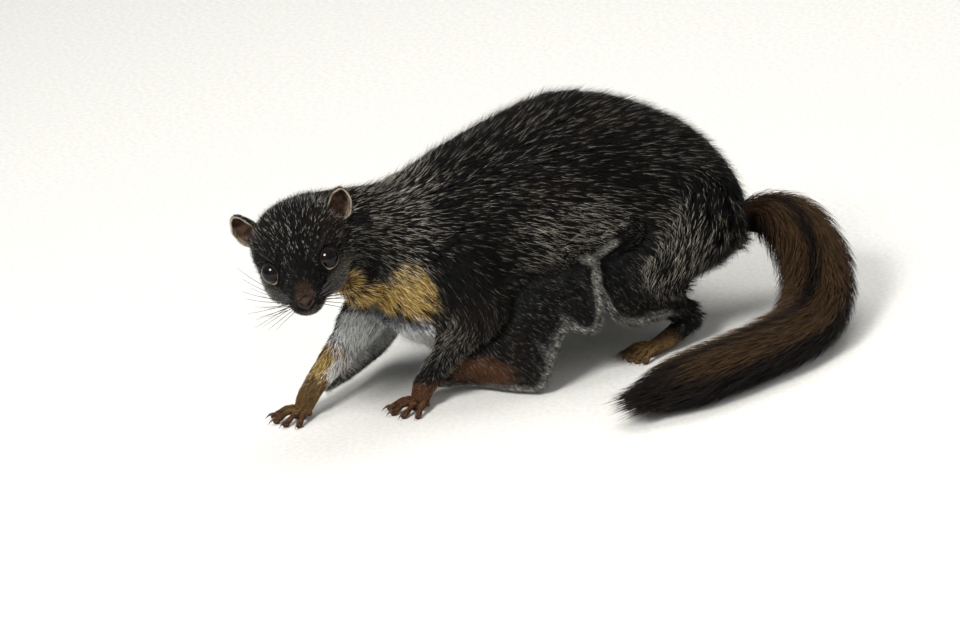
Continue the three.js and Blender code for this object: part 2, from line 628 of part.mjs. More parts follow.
['base', 'middle', 'tip'].forEach((name, n) => {
  const [from, to] = [tailCuts[n], tailCuts[n + 1]];
  const [coreFrom, coreTo] = [n ? from - 12 : 4, n < 2 ? to + 12 : to - 12];
  const corePath = Array.from({ length: 7 }, (_, m) => inCoat(coreFrom + ((coreTo - coreFrom) * m) / 6, 0, 0));
  const girthAt = (t) => coatGirth(coreFrom + (coreTo - coreFrom) * t) * coat.core;
  const parts = [swept(corePath, (t) => girthAt(t) * coat.wide, (t) => girthAt(t) * coat.thick, 8, 8, unitZ)];
  const rows = Math.round((to - from) / coat.rowStep);
  for (let row = 0; row < rows; row += 1) {
    const mm = from + ((row + 0.35) * (to - from)) / rows;
    const count = coatGirth(mm) < 0.75 ? coat.around - 1 : coat.around;
    for (let k = 0; k < count; k += 1) {
      const angle = (2 * Math.PI * (k + (row % 2) / 2 + chance(-0.12, 0.12))) / count;
      parts.push(lock(mm + chance(-2, 2), angle));
    }
  }
  if (n === 2) parts.push(lock(curveLength - 16, 0.4), lock(curveLength - 15, 3.6));
  let shape = onFloor(joined(parts));
  const startCut = tailStart.clone().addScaledVector(ahead, -seamGap);
  if (n) shape = shape.subtract(coatBehind(from, seamGap));
  else shape = keepSide(shape, startCut, ahead.clone().negate()).subtract(torsoRoom);
  if (n < 2) shape = shape.subtract(coatAhead(to, 0));
  add('tail_' + name, shape, coats.tail);
});

export default group;
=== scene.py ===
import json
import math

import bpy
import numpy as np
from mathutils import Matrix, Vector
from mathutils.bvhtree import BVHTree

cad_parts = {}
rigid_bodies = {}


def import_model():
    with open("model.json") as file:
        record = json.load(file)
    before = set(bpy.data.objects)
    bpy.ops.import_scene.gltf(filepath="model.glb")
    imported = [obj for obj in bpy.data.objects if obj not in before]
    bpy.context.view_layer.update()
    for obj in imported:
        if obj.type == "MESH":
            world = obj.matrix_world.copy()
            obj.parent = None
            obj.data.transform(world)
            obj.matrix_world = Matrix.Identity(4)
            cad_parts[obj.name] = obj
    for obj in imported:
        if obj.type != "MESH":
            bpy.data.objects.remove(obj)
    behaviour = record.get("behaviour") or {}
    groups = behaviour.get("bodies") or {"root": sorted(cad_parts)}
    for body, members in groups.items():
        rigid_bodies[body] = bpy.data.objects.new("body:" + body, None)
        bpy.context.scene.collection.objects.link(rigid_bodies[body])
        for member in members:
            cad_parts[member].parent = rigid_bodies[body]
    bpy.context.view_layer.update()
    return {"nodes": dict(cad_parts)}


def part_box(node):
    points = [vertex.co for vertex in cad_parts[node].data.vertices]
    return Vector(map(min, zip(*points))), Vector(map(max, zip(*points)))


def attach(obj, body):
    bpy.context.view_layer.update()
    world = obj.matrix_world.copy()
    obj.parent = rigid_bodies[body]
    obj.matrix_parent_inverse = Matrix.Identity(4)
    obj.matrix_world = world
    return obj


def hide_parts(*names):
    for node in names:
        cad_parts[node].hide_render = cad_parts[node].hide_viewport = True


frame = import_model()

mm = 0.001
body = "root"
draw = np.random.default_rng(20)


# Places, told as in the solids: millimetres ahead, left and up of the floor under the loins
bodyPlace = {"ahead": -16.5, "left": 35.6}


def at(ahead, left, up):
    return np.array([left - bodyPlace["left"], bodyPlace["ahead"] - ahead, up]) * mm


def unit(vectors):
    vectors = np.asarray(vectors, float)
    return vectors / np.maximum(np.linalg.norm(vectors, axis=-1, keepdims=True), 1e-9)


def dots(first, second):
    return np.einsum("nk,nk->n", first, second)


def middleOf(node):
    low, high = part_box(node)
    return np.array((low + high) / 2)


def softStep(values, low, high):
    share = np.clip((values - low) / (high - low), 0, 1)
    return share * share * (3 - 2 * share)


# The head's own frame comes from where the solids have the eyes and the nose
headShape = {
    "scale": 1.08,
    "eyePlace": (1.6, 11.6, 4.0),   # ahead, left and up in the head
    "noseDrop": (21.0, 8.0),        # from between the eyes to the nose: ahead and down
    "reach": 32 * mm,               # markings nearer than this to its middle are the head's
}
eyeMiddles = [middleOf("eye_left"), middleOf("eye_right")]
betweenEyes = (eyeMiddles[0] + eyeMiddles[1]) / 2
headLeft = unit(eyeMiddles[0] - eyeMiddles[1])
toNose = unit(middleOf("nose") - betweenEyes)
noseAngle = math.atan2(headShape["noseDrop"][1], headShape["noseDrop"][0])
headAhead = toNose * math.cos(noseAngle) + np.cross(toNose, headLeft) * math.sin(noseAngle)
headUp = np.cross(headAhead, headLeft)
headZero = betweenEyes - (headAhead * headShape["eyePlace"][0] + headUp * headShape["eyePlace"][2]) \
    * headShape["scale"] * mm


def headWay(ahead, left, up):
    return headAhead * ahead + headLeft * left + headUp * up


def onHead(ahead, left, up):
    return headZero + headWay(ahead, left, up) * headShape["scale"] * mm


def inHead(points):
    return (points - headZero) @ np.array([headAhead, headLeft, headUp]).T / (headShape["scale"] * mm)


# Mesh helpers
def only(piece):
    bpy.ops.object.select_all(action="DESELECT")
    piece.select_set(True)
    bpy.context.view_layer.objects.active = piece


def applyModifier(piece, kind, **settings):
    only(piece)
    modifier = piece.modifiers.new(kind.lower(), kind)
    for key, value in settings.items():
        setattr(modifier, key, value)
    bpy.ops.object.modifier_apply(modifier=modifier.name)


def joinPieces(pieces, name):
    bpy.ops.object.select_all(action="DESELECT")
    for piece in pieces:
        piece.select_set(True)
    bpy.context.view_layer.objects.active = pieces[0]
    bpy.ops.object.join()
    pieces[0].name = name
    pieces[0].data.name = name
    return pieces[0]


def editAll(piece):
    only(piece)
    bpy.ops.object.mode_set(mode="EDIT")
    bpy.ops.mesh.select_all(action="SELECT")


def newPiece(name, data):
    piece = bpy.data.objects.new(name, data)
    bpy.context.scene.collection.objects.link(piece)
    return piece


def placeOf(middle, half, ahead, left, up):
    basis = np.eye(4)
    basis[:3, :3] = np.stack([ahead * half[0], left * half[1], up * half[2]], axis=1)
    basis[:3, 3] = middle
    return Matrix(basis)


def settle(piece, name, matrix):
    piece.name = name
    piece.matrix_world = matrix
    only(piece)
    bpy.ops.object.transform_apply(location=True, rotation=True, scale=True)
    return piece


def ballPiece(name, matrix, segments=56, rings=40):
    bpy.ops.mesh.primitive_uv_sphere_add(segments=segments, ring_count=rings, radius=1)
    return settle(bpy.context.active_object, name, matrix)


def readAll(items, what, width=3, kind=np.float32):
    values = np.empty(len(items) * width, kind)
    items.foreach_get(what, values)
    return values.reshape(-1, width)


def readPoints(mesh, what="co"):
    return readAll(mesh.vertices, what).astype(float)


def writePoints(mesh, points):
    mesh.vertices.foreach_set("co", points.astype(np.float32).ravel())
    mesh.update()


def paint(mesh, name, values):
    layer = mesh.attributes.get(name) or mesh.attributes.new(name, "FLOAT", "POINT")
    layer.data.foreach_set("value", np.asarray(values, np.float32))


def triangleMesh(name, points, faces):
    mesh = bpy.data.meshes.new(name)
    mesh.vertices.add(len(points))
    mesh.vertices.foreach_set("co", points.astype(np.float32).ravel())
    mesh.loops.add(faces.size)
    mesh.loops.foreach_set("vertex_index", faces.astype(np.int32).ravel())
    mesh.polygons.add(len(faces))
    mesh.polygons.foreach_set("loop_start", np.arange(0, faces.size, 3, dtype=np.int32))
    mesh.update(calc_edges=True)
    return newPiece(name, mesh)


def smoothLine(places, count):
    # A centripetal spline through the places, as the solids use, sampled evenly along its length
    places = np.asarray(places, float)
    ends = np.vstack([2 * places[0] - places[1], places, 2 * places[-1] - places[-2]])
    line = []
    for n in range(len(places) - 1):
        a, b, c, d = ends[n:n + 4]
        steps = [max(np.linalg.norm(q - p) ** 0.5, 1e-6) for p, q in ((a, b), (b, c), (c, d))]
        out = ((b - a) / steps[0] - (c - a) / (steps[0] + steps[1]) + (c - b) / steps[1]) * steps[1]
        into = ((c - b) / steps[1] - (d - b) / (steps[1] + steps[2]) + (d - c) / steps[2]) * steps[1]
        t = np.linspace(0, 1, 40, endpoint=False)[:, None]
        line.append(b + out * t + (3 * (c - b) - 2 * out - into) * t ** 2
                    + (2 * (b - c) + out + into) * t ** 3)
    line = np.vstack(line + [places[-1:]])
    run = np.concatenate([[0], np.cumsum(np.linalg.norm(np.diff(line, axis=0), axis=1))])
    even = np.linspace(0, run[-1], count)
    return np.stack([np.interp(even, run, line[:, k]) for k in range(3)], axis=1)


def lineThrough(frameOf, places, count):
    return smoothLine([frameOf(*place) for place in places], count)


def tubeAlong(name, line, widths, heights, sides):
    ways = unit(np.gradient(line, axis=0))
    across = unit(np.cross([0, 0, 1], ways))
    above = np.cross(ways, across)
    angles = np.arange(sides) * 2 * math.pi / sides
    rings = line[:, None] + across[:, None] * (np.cos(angles) * widths[:, None])[..., None] \
        + above[:, None] * (np.sin(angles) * heights[:, None])[..., None]
    points = np.vstack([rings.reshape(-1, 3), line[:1], line[-1:]])
    n = len(line)
    i, j = np.meshgrid(np.arange(n - 1), np.arange(sides), indexing="ij")
    a, b = (i * sides + j).ravel(), (i * sides + (j + 1) % sides).ravel()
    walls = np.vstack([np.stack([a, b, b + sides], 1), np.stack([a, b + sides, a + sides], 1)])
    k = np.arange(sides)
    first = np.stack([np.full(sides, n * sides), (k + 1) % sides, k], 1)
    end = (n - 1) * sides
    last = np.stack([np.full(sides, n * sides + 1), end + k, end + (k + 1) % sides], 1)
    return triangleMesh(name, points, np.vstack([walls, first, last]))


def lineDistance(points, line):
    # Distance from each point to a line of places, and how far along the line its nearest spot is (0 to 1)
    best = np.full(len(points), 1e9)
    share = np.zeros(len(points))
    for n in range(len(line) - 1):
        a, b = line[n], line[n + 1]
        t = np.clip((points - a) @ (b - a) / max((b - a) @ (b - a), 1e-12), 0, 1)
        gap = np.linalg.norm(points - a - t[:, None] * (b - a), axis=1)
        closer = gap < best
        best = np.where(closer, gap, best)
        share = np.where(closer, (n + t) / (len(line) - 1), share)
    return best, share


# The tail's line and girth, as the solids have them
tailShape = {"wide": 19.5 * mm, "thick": 13.2 * mm, "core": 0.46, "samples": 261}
tailPlaces = [(-112, 0, 36), (-126, 1, 39), (-135, 8, 42), (-141, 24, 38), (-140, 46, 25),
              (-129, 68, 15), (-112, 88, 12), (-84, 101, 12), (-52, 109, 12), (-14, 115, 11)]
tailLine = lineThrough(at, tailPlaces, tailShape["samples"])
tailLength = float(np.sum(np.linalg.norm(np.diff(tailLine, axis=0), axis=1)))
tailWays = unit(np.gradient(tailLine, axis=0))
tailAcross = unit(np.cross([0, 0, 1], tailWays))
tailAbove = np.cross(tailWays, tailAcross)


def tailGirth(share):
    return np.minimum(1, 0.42 + share * 3.2) * np.sqrt(np.clip((1.04 - share) * 3.2, 0.02, 1))


def tailFullness(share):
    # The coat's girth, which stays full almost to the tip
    return np.minimum(1, 0.42 + share * 3.2) * np.sqrt(np.clip((1.05 - share) * 6, 0.1, 1))


def roundTail(points, share, thick=1.0, wide=1.0):
    # The way round the tail at which each point lies, at its share of the length
    spot = np.clip((share * (len(tailLine) - 1)).astype(int), 0, len(tailLine) - 1)
    offset = points - tailLine[spot]
    return np.arctan2(dots(offset, tailAbove[spot]) / thick, dots(offset, tailAcross[spot]) / wide)


def inTail(along, angle, out):
    # A place in the tail's coat: metres along it, the way round it, and how far out (1 at the coat's surface)
    share = np.clip(along / tailLength, 0, 1)
    spot = share * (len(tailLine) - 1)
    low = np.minimum(spot.astype(int), len(tailLine) - 2)
    part = (spot - low)[..., None]

    def sample(values):
        return values[low] * (1 - part) + values[low + 1] * part
    girth = (tailFullness(share) * out)[..., None]
    beyond = np.maximum(along - tailLength, 0)[..., None]
    return sample(tailLine) + sample(tailWays) * beyond \
        + sample(tailAcross) * np.cos(angle)[..., None] * tailShape["wide"] * girth \
        + sample(tailAbove) * np.sin(angle)[..., None] * tailShape["thick"] * girth


# The rolled free edges of the gliding skin, and the fold that forks up the left flank from it
flapEdges = {
    "left": [(50, 20, 9), (38, 18, 6), (28, 22, 5), (18, 38, 4.5), (8, 49, 4.5), (4, 51, 12), (-2, 50, 24),
             (-9, 48, 30), (-18, 51, 25), (-25, 51, 28), (-29, 47, 44), (-34, 49, 28), (-42, 49, 23),
             (-54, 46, 21), (-64, 41, 20), (-74, 37, 18)],
    "right": [(90, -13, 9), (74, -22, 9), (58, -34, 9), (44, -44, 10), (34, -48, 18), (20, -48, 27),
              (2, -50, 29), (-20, -51, 28), (-40, -50, 25), (-54, -46, 22), (-66, -42, 20), (-76, -38, 18)],
}
flapRoots = {
    "left": [(49, 22, 15), (42, 26, 22), (36, 30, 29), (29, 32, 37), (22, 33, 44), (14, 33, 50), (6, 33, 55),
             (-2, 33, 58), (-12, 33, 60), (-20, 33, 60), (-27, 33, 60), (-34, 33, 58), (-42, 33, 55),
             (-52, 33, 46), (-62, 34, 34), (-73, 35, 23)],
    "right": [(89, -15, 15), (78, -20, 24), (66, -25, 33), (56, -27, 42), (42, -28, 48), (24, -28, 52),
              (4, -30, 57), (-20, -32, 60), (-36, -32, 58), (-52, -33, 46), (-64, -35, 34), (-75, -36, 24)],
}
flapSamples = 90
flapLines = {side: lineThrough(at, places, flapSamples) for side, places in flapEdges.items()}
forkPlaces = [[(-29, 47, 46), (-30, 42, 54), (-18, 41, 60)], [(-30, 42, 54), (-40, 42, 60), (-50, 41, 64)]]
forkLines = [lineThrough(at, places, 20) for places in forkPlaces]


# The limbs' joints, as the solids have them
limbPlaces = {
    "left": {"arm": [at(33, 24, 66), at(25, 36, 44), at(51, 21, 14), at(60, 24, 3)],
             "leg": [at(-88, 22, 58), at(-52, 35, 34), at(-79, 35, 13), at(-54, 39, 3)]},
    "right": {"arm": [at(36, -22, 60), at(60, -28, 33), at(97, -9, 13), at(107, -6, 3)],
              "leg": [at(-90, -22, 58), at(-56, -35, 34), at(-87, -35, 13), at(-62, -39, 3)]},
}
digitReach = 15 * mm


# The lie of the coat: each guide is a bone's line with its girth, the coat's length, its depth over the skin
# and the way that the hair lies there
def guideList():
    back = np.array([0, 1, 0])
    rows = []

    def guide(part, start, end, girth, length, depth, lie=None, down=0.0, gain=1.0):
        lie = unit(end - start) if lie is None else unit(lie)
        rows.append({"part": part, "from": start, "to": end, "girth": np.array(girth) * mm,
                     "length": np.array(length) * mm, "depth": np.array(depth) * mm,
                     "lie": lie - [0, 0, down], "gain": gain})

    def pawGuides(part, joint, end):
        toes = end + unit(end - joint) * [1, 1, 0] * digitReach
        guide(part, joint, end, (5, 5), (2.6, 1.6), (0.4, 0.2))
        guide(part, end, toes, (6, 7), (1.4, 0.9), (0.12, 0.05))

    nape = headWay(-1, 0, 0)
    guide("head", onHead(23, 0, -5), onHead(12, 0, -3), (4, 7), (1.2, 2.4), (0.35, 0.7), nape)
    guide("head", onHead(9, 0, 2), onHead(-26, 0, 6), (11, 21), (3, 6), (0.9, 2.2), nape)
    for side in (1, -1):
        guide("head", onHead(12, side * 5, -8), onHead(-16, side * 13, -8), (5, 13), (2.6, 7), (0.7, 2.6),
              headWay(-1, side * 0.25, -0.3))
    guide("head", onHead(14, 0, -12), onHead(-14, 0, -12), (4, 12), (2.2, 6), (0.6, 2.2), nape)
    guide("neck", at(86, -1, 90), at(40, 0, 77), (19, 26), (7.5, 9), (2.6, 3.6), back, 0.35)
    guide("trunk", at(30, 0, 70), at(-10, 0, 72), (36, 44), (8, 8.5), (3.6, 3.8), back, 0.4)
    guide("trunk", at(-10, 0, 72), at(-80, 0, 60), (46, 40), (8.5, 9), (3.8, 3.8), back, 0.4)
    guide("trunk", at(-80, 0, 60), at(-112, 0, 40), (38, 22), (9, 8.5), (3.8, 3), back, 0.5)
    guide("tail", at(-118, 0, 37), at(-135, 8, 42), (9, 9), (9, 9), (1.5, 0.4))
    for n in range(20, len(tailLine) - 1, 24):
        guide("tail", tailLine[n], tailLine[min(n + 24, len(tailLine) - 1)], (9, 9), (9, 9), (0.1, 0.1))
    for line in forkLines:
        for n in range(0, 17, 4):
            guide("fold", line[n], line[min(n + 4, 19)], (5.2, 5.2), (2.6, 2.6), (0.1, 0.1), [0, 0.8, -0.6],
                  gain=14)
    for side in ("left", "right"):
        shoulder, elbow, wrist, palm = limbPlaces[side]["arm"]
        hip, knee, heel, ball = limbPlaces[side]["leg"]
        guide("foreleg", shoulder, elbow, (15, 10), (8.5, 6.5), (3.4, 1.9))
        guide("foreleg", elbow, wrist, (9.5, 5.6), (6.2, 3.8), (1.8, 0.8))
        pawGuides("hand", wrist, palm)
        guide("hindleg", hip, knee, (29, 12), (9, 6.5), (3.8, 1.9))
        guide("hindleg", knee, heel, (10, 7), (7, 5.2), (2.2, 1.5))
        pawGuides("foot", heel, ball)
        root = lineThrough(at, flapRoots[side], flapSamples)
        edge = flapLines[side]
        for n in range(4, flapSamples - 2, 3):
            top = root[n] + (edge[n] - root[n]) * 0.12
            lie = unit(edge[n] - top) + [0, 0.9, 0]
            guide("flap", top, edge[n], (7, 6), (5.6, 3.4), (0.5, 0.15), lie, gain=4)
    return rows


guides = guideList()
eyeParting = {"radius": 6 * mm, "fade": 2.2 * mm}


def coatAt(points):
    total = np.zeros(len(points))
    lie = np.zeros((len(points), 3))
    length = np.zeros(len(points))
    depth = np.zeros(len(points))
    parts = {}
    for row in guides:
        line = row["to"] - row["from"]
        t = np.clip((points - row["from"]) @ line / (line @ line), 0, 1)
        gap = np.linalg.norm(points - row["from"] - t[:, None] * line, axis=1)

        def run(pair):
            return pair[0] + (pair[1] - pair[0]) * t
        share = row["gain"] * np.exp(-3.5 * np.minimum((gap / run(row["girth"])) ** 2, 40)) + 1e-30
        total += share
        lie += row["lie"] * share[:, None]
        length += run(row["length"]) * share
        depth += run(row["depth"]) * share
        parts[row["part"]] = parts.get(row["part"], 0) + share
    for middle in eyeMiddles:    # the hair parts round the eyes
        away = points - middle
        gap = np.maximum(np.linalg.norm(away, axis=1) - eyeParting["radius"], 0)
        near = np.exp(-gap / eyeParting["fade"])
        lie += unit(away) * (near * total * 1.6)[:, None]
        length *= 1 - 0.55 * near
        depth *= 1 - 0.45 * near
    shares = {part: value / total for part, value in parts.items()}
    return {"lie": unit(lie), "length": length / total, "depth": depth / total, "parts": shares}


# The skin: copies of the flesh solids, made one closed surface and smoothed, then sunk by the coat's depth
skinShape = {
    "voxel": 0.8 * mm,
    "overlap": 0.35 * mm, "flapOverlap": 0.3 * mm,    # these close the thin gaps between the solids
    "thickest": 20 * mm,        # flesh is measured up to this
    "trunkSmooth": 30.0,
    "rolledEdge": 1.6 * mm,
    # the throat: middles, and half sizes in mm across, along and up
    "fills": [(at(80, 4, 66), (12, 9, 8)), (at(72, 2, 60), (14, 11, 10)), (at(62, -2, 57), (15, 12, 12))],
    "deepest": 0.22,            # of the flesh's thickness, that the coat may sink the skin
    "fold": (1.5 * mm, 2.0 * mm),    # height and width of the forked fold
    "trianglesLeft": 0.25,      # of the broad parts, after thinning
}
bodyNodes = ["torso", "neck", "head", "jaw"] + [part + "_" + side for side in ("left", "right")
                                                for part in ("upper_arm", "forearm", "thigh", "shank")]
pawNodes = [part + "_" + side for side in ("left", "right") for part in ("hand", "foot")]


def copyOf(node, outward):
    piece = newPiece("copy_" + node, frame["nodes"][node].data.copy())
    editAll(piece)
    bpy.ops.mesh.remove_doubles(threshold=1e-6)
    bpy.ops.transform.shrink_fatten(value=outward)
    bpy.ops.object.mode_set(mode="OBJECT")
    return piece


def press(points, normals, line, height, width):
    gap, _ = lineDistance(points, np.asarray(line))
    return points + normals * (height * np.exp(-(gap / width) ** 2))[:, None]


def vertexGroup(piece, name, weights):
    group = piece.vertex_groups.new(name=name)
    levels = np.round(np.clip(weights, 0, 1) * 10).astype(int)
    for level in range(1, 11):
        chosen = np.flatnonzero(levels == level)
        if len(chosen):
            group.add(chosen.tolist(), level / 10, "REPLACE")


def wallThickness(piece, points, normals):
    # How thick the flesh is under each point
    tree = BVHTree.FromObject(piece, bpy.context.evaluated_depsgraph_get())
    thick = np.full(len(points), skinShape["thickest"])
    for n, (point, normal) in enumerate(zip(points, normals)):
        hit = tree.ray_cast(Vector(point - normal * 0.05 * mm), Vector(-normal), skinShape["thickest"])
        if hit[3] is not None:
            thick[n] = hit[3]
    return thick


# Paws, made finer than the body and then united with it
pawShape = {
    "hand": {"wide": [4.6, 5.0, 6.4, 4.4], "thick": [4.4, 3.7, 3.3, 2.2],
             "digits": 4, "reach": 15.0, "lift": 0.5},
    "foot": {"wide": [4.6, 4.9, 6.6, 4.8], "thick": [4.6, 4.4, 3.4, 2.4],
             "digits": 5, "reach": 14.5, "lift": -2.6},
    "digit": [1.75, 1.5, 1.32, 1.62, 1.35, 1.2, 1.5, 1.3, 0.9],    # girth from the knuckle to the tip
    "arch": [(1.0, 3.4), (0.72, 4.1), (0.48, 4.0), (0.22, 2.4), (0.0, 1.5)],    # share of the reach, and up
    "pad": (1.75 * mm, 1.75 * mm, 1.3 * mm), "padBack": 1.2 * mm, "padUp": 1.35 * mm,
    "tendon": (0.5 * mm, 1.1 * mm),
    "floor": 0.15 * mm,
    "voxel": 0.36 * mm,
    "trianglesLeft": 0.4,
}


def clawPlaces(kind, side):
    # Where each claw of a paw leaves its digit, and the way it points, from the solids
    pawMiddle = middleOf(kind + "_" + side)
    places = []
    for n in range(1, pawShape[kind]["digits"] + 1):
        solid = readPoints(frame["nodes"][f"claw_{kind}_{side}_{n}"].data)
        centre = (solid.min(0) + solid.max(0)) / 2
        flat = (solid - solid.mean(0))[:, :2]
        way = np.append(np.linalg.svd(flat, full_matrices=False)[2][0], 0)
        way = way if way @ (centre - pawMiddle) > 0 else -way
        places.append((centre - way * 0.65 * mm, way))
    return places


def makePaw(kind, side):
    # The sole as one tube, a tube and a pad to each digit, and tendons over the top
    shape = pawShape[kind]
    before, joint, ball = limbPlaces[side]["arm" if kind == "hand" else "leg"][1:]
    claws = clawPlaces(kind, side)
    ahead = unit(sum(way for _, way in claws))
    middle = joint + (ball - joint) * 0.45 + [0, 0, shape["lift"] * mm]
    front = ball + ahead * 4 * mm
    front[2] = 3 * mm
    line = smoothLine([joint + (before - joint) * 0.45, joint, middle, ball, front], 25)
    run = np.linspace(0, 3, 25)
    wide, thick = (np.interp(run, range(4), shape[key]) * mm for key in ("wide", "thick"))
    ends = np.sqrt(np.clip(np.minimum(np.arange(25) + 0.3, np.arange(25)[::-1] + 0.8) / 2, 0, 1))
    parts = [tubeAlong("paw", line, wide * ends, thick * ends, 20)]
    roots = []
    for n, (tip, way) in enumerate(claws):
        u = 2 * n / (len(claws) - 1) - 1
        reach = shape["reach"] * (1 - 0.16 * u * u - 0.03 * u) * mm
        places = [tip - way * reach * far + [0, 0, up * mm - tip[2]] for far, up in pawShape["arch"]]
        digit = smoothLine(places, 22)
        girth = np.interp(np.linspace(0, 8, 22), range(9), pawShape["digit"]) * mm
        girth[-1] *= 0.6
        parts.append(tubeAlong("digit", digit, girth, girth, 12))
        middle = tip - way * pawShape["padBack"] + [0, 0, pawShape["padUp"] - tip[2]]
        parts.append(ballPiece("pad", placeOf(middle, pawShape["pad"], *np.eye(3)), 16, 12))
        roots.append(digit[4])
    paw = joinPieces(parts, "paw")
    applyModifier(paw, "REMESH", mode="VOXEL", voxel_size=pawShape["voxel"])
    applyModifier(paw, "SMOOTH", factor=0.5, iterations=4)
    points, normals = readPoints(paw.data), readPoints(paw.data, "normal")
    top = softStep(normals[:, 2], 0.1, 0.7)[:, None] * normals
    for root in roots:
        tendon = [joint + (root - joint) * 0.25 + [0, 0, 3 * mm], root + [0, 0, 1.6 * mm]]
        points = press(points, top, tendon, *pawShape["tendon"])
    points[:, 2] = np.maximum(points[:, 2], pawShape["floor"])
    writePoints(paw.data, points)
    applyModifier(paw, "DECIMATE", ratio=pawShape["trianglesLeft"])
    return paw


def addPaw(skin, kind, side):
    paw = makePaw(kind, side)
    applyModifier(skin, "BOOLEAN", operation="UNION", solver="MANIFOLD", object=paw)
    bpy.data.objects.remove(paw)


def makeSkin():
    parts = [copyOf(node, skinShape["overlap"]) for node in bodyNodes]
    parts += [copyOf("patagium_" + side, skinShape["flapOverlap"]) for side in flapLines]
    for middle, half in skinShape["fills"]:
        parts.append(ballPiece("fill", placeOf(middle, np.array(half) * mm, *np.eye(3)), 32, 20))
    spots = np.arange(flapSamples)
    for side, line in flapLines.items():
        girth = skinShape["rolledEdge"] * np.clip(np.minimum(spots, spots[::-1]) / 9, 0.4, 1)
        parts.append(tubeAlong("copy_edge_" + side, line, girth, girth, 12))
    share = np.linspace(0, 1, len(tailLine))
    girth = tailGirth(share) * tailShape["core"]
    ends = np.sqrt(np.clip((1 - share) / 0.04, 0.05, 1))
    parts.append(tubeAlong("copy_tail", tailLine[:-8], (girth * ends * tailShape["wide"])[:-8],
                           (girth * ends * tailShape["thick"])[:-8], 16))
    skin = joinPieces(parts, "skin")
    applyModifier(skin, "REMESH", mode="VOXEL", voxel_size=skinShape["voxel"])
    coat = coatAt(readPoints(skin.data))["parts"]
    broad = coat["trunk"] + coat["neck"] + 0.9 * coat["hindleg"] + 0.8 * coat["foreleg"]
    vertexGroup(skin, "broad", broad)
    vertexGroup(skin, "middling", coat["head"] + 0.5 * coat["flap"] + coat["tail"] + broad)
    applyModifier(skin, "LAPLACIANSMOOTH", lambda_factor=skinShape["trunkSmooth"], iterations=6,
                  vertex_group="broad")
    applyModifier(skin, "LAPLACIANSMOOTH", lambda_factor=1.0, iterations=2, vertex_group="middling")
    applyModifier(skin, "SMOOTH", factor=0.5, iterations=4)

    points, normals = readPoints(skin.data), readPoints(skin.data, "normal")
    deepest = wallThickness(skin, points, normals) * skinShape["deepest"]
    sink = np.minimum(coatAt(points)["depth"], deepest)
    points = points - normals * sink[:, None]
    for line in forkLines:
        points = press(points, normals, line, *skinShape["fold"])
    writePoints(skin.data, points)
    applyModifier(skin, "SMOOTH", factor=0.5, iterations=3)

    thin = coatAt(readPoints(skin.data))["parts"]
    vertexGroup(skin, "thin", np.clip(thin["trunk"] + thin["neck"] + thin["hindleg"] + thin["flap"]
                                      + thin["tail"] + 0.6 * thin["foreleg"], 0, 1))
    applyModifier(skin, "DECIMATE", ratio=skinShape["trianglesLeft"], vertex_group="thin",
                  vertex_group_factor=4.0)
    for side in ("left", "right"):
        addPaw(skin, "hand", side)
        addPaw(skin, "foot", side)
    return skin


skin = makeSkin()
print("skin:", len(skin.data.polygons), "faces")


# The face: lines pressed in, and soft forms raised or sunk in pairs (on the head's frame)
lip = [(8, 8.2, -10.2), (12.5, 6.9, -10.4), (17, 5, -10), (20.5, 2.4, -9.4)]
otherLip = [(ahead, -left, up) for ahead, left, up in lip[::-1]]
faceLines = {
    "mouth": lineThrough(onHead, lip + [(21.3, 0, -9)] + otherLip, 60),
    "cleft": lineThrough(onHead, [(24.5, 0, -5.6), (23, 0, -7.4), (21.3, 0, -9)], 8),
}
facePress = {"mouth": (-0.75 * mm, 0.5 * mm), "cleft": (-0.55 * mm, 0.4 * mm)}    # height and width
faceForms = [    # from, to, height and width in mm
    ((17.5, 3.6, -7), (13, 5.8, -6.5), 0.7, 2.4),    # lip pads
    ((6, 8, 9.5), (-1, 13, 10.5), 0.7, 2.2),         # brows
    ((9.5, 7.5, 1), (7.5, 8.6, 0), -0.5, 1.6),       # hollows before the eyes
]


eyeShape = {
    "look": (0.68, 0.68, 0.27), "cornea": 0.3 * mm,
    "open": 62,                 # degrees from the middle of the pupil to the lids
    "reach": 9 * mm,            # the skin further from the ball's middle isn't drawn back
    "rimThick": 0.3 * mm, "rimSquash": (1, 0.97, 1.1),
    "corner": 0.7 * mm, "hood": 0.55 * mm, "droop": 0.35 * mm,
}


def eyeFrame(side):
    s = (1, -1)[side]
    look = unit(headWay(eyeShape["look"][0], eyeShape["look"][1] * s, eyeShape["look"][2]))
    up = unit(headUp - look * (headUp @ look))
    return look, up, np.cross(up, look)


def openEyes(points):
    # The lids are drawn back from the front of each ball
    for side in (0, 1):
        look = eyeFrame(side)[0]
        away = points - eyeMiddles[side]
        far = np.linalg.norm(away, axis=1)
        ahead = away @ look
        angle = np.arccos(np.clip(ahead / np.maximum(far, 1e-9), -1, 1))
        least = math.radians(eyeShape["open"])
        near = (far < eyeShape["reach"]) & (angle < least)
        outward = unit(away - look * ahead[:, None])
        moved = eyeMiddles[side] + (look * math.cos(least) + outward * math.sin(least)) * far[:, None]
        points = np.where(near[:, None], moved, points)
    return points


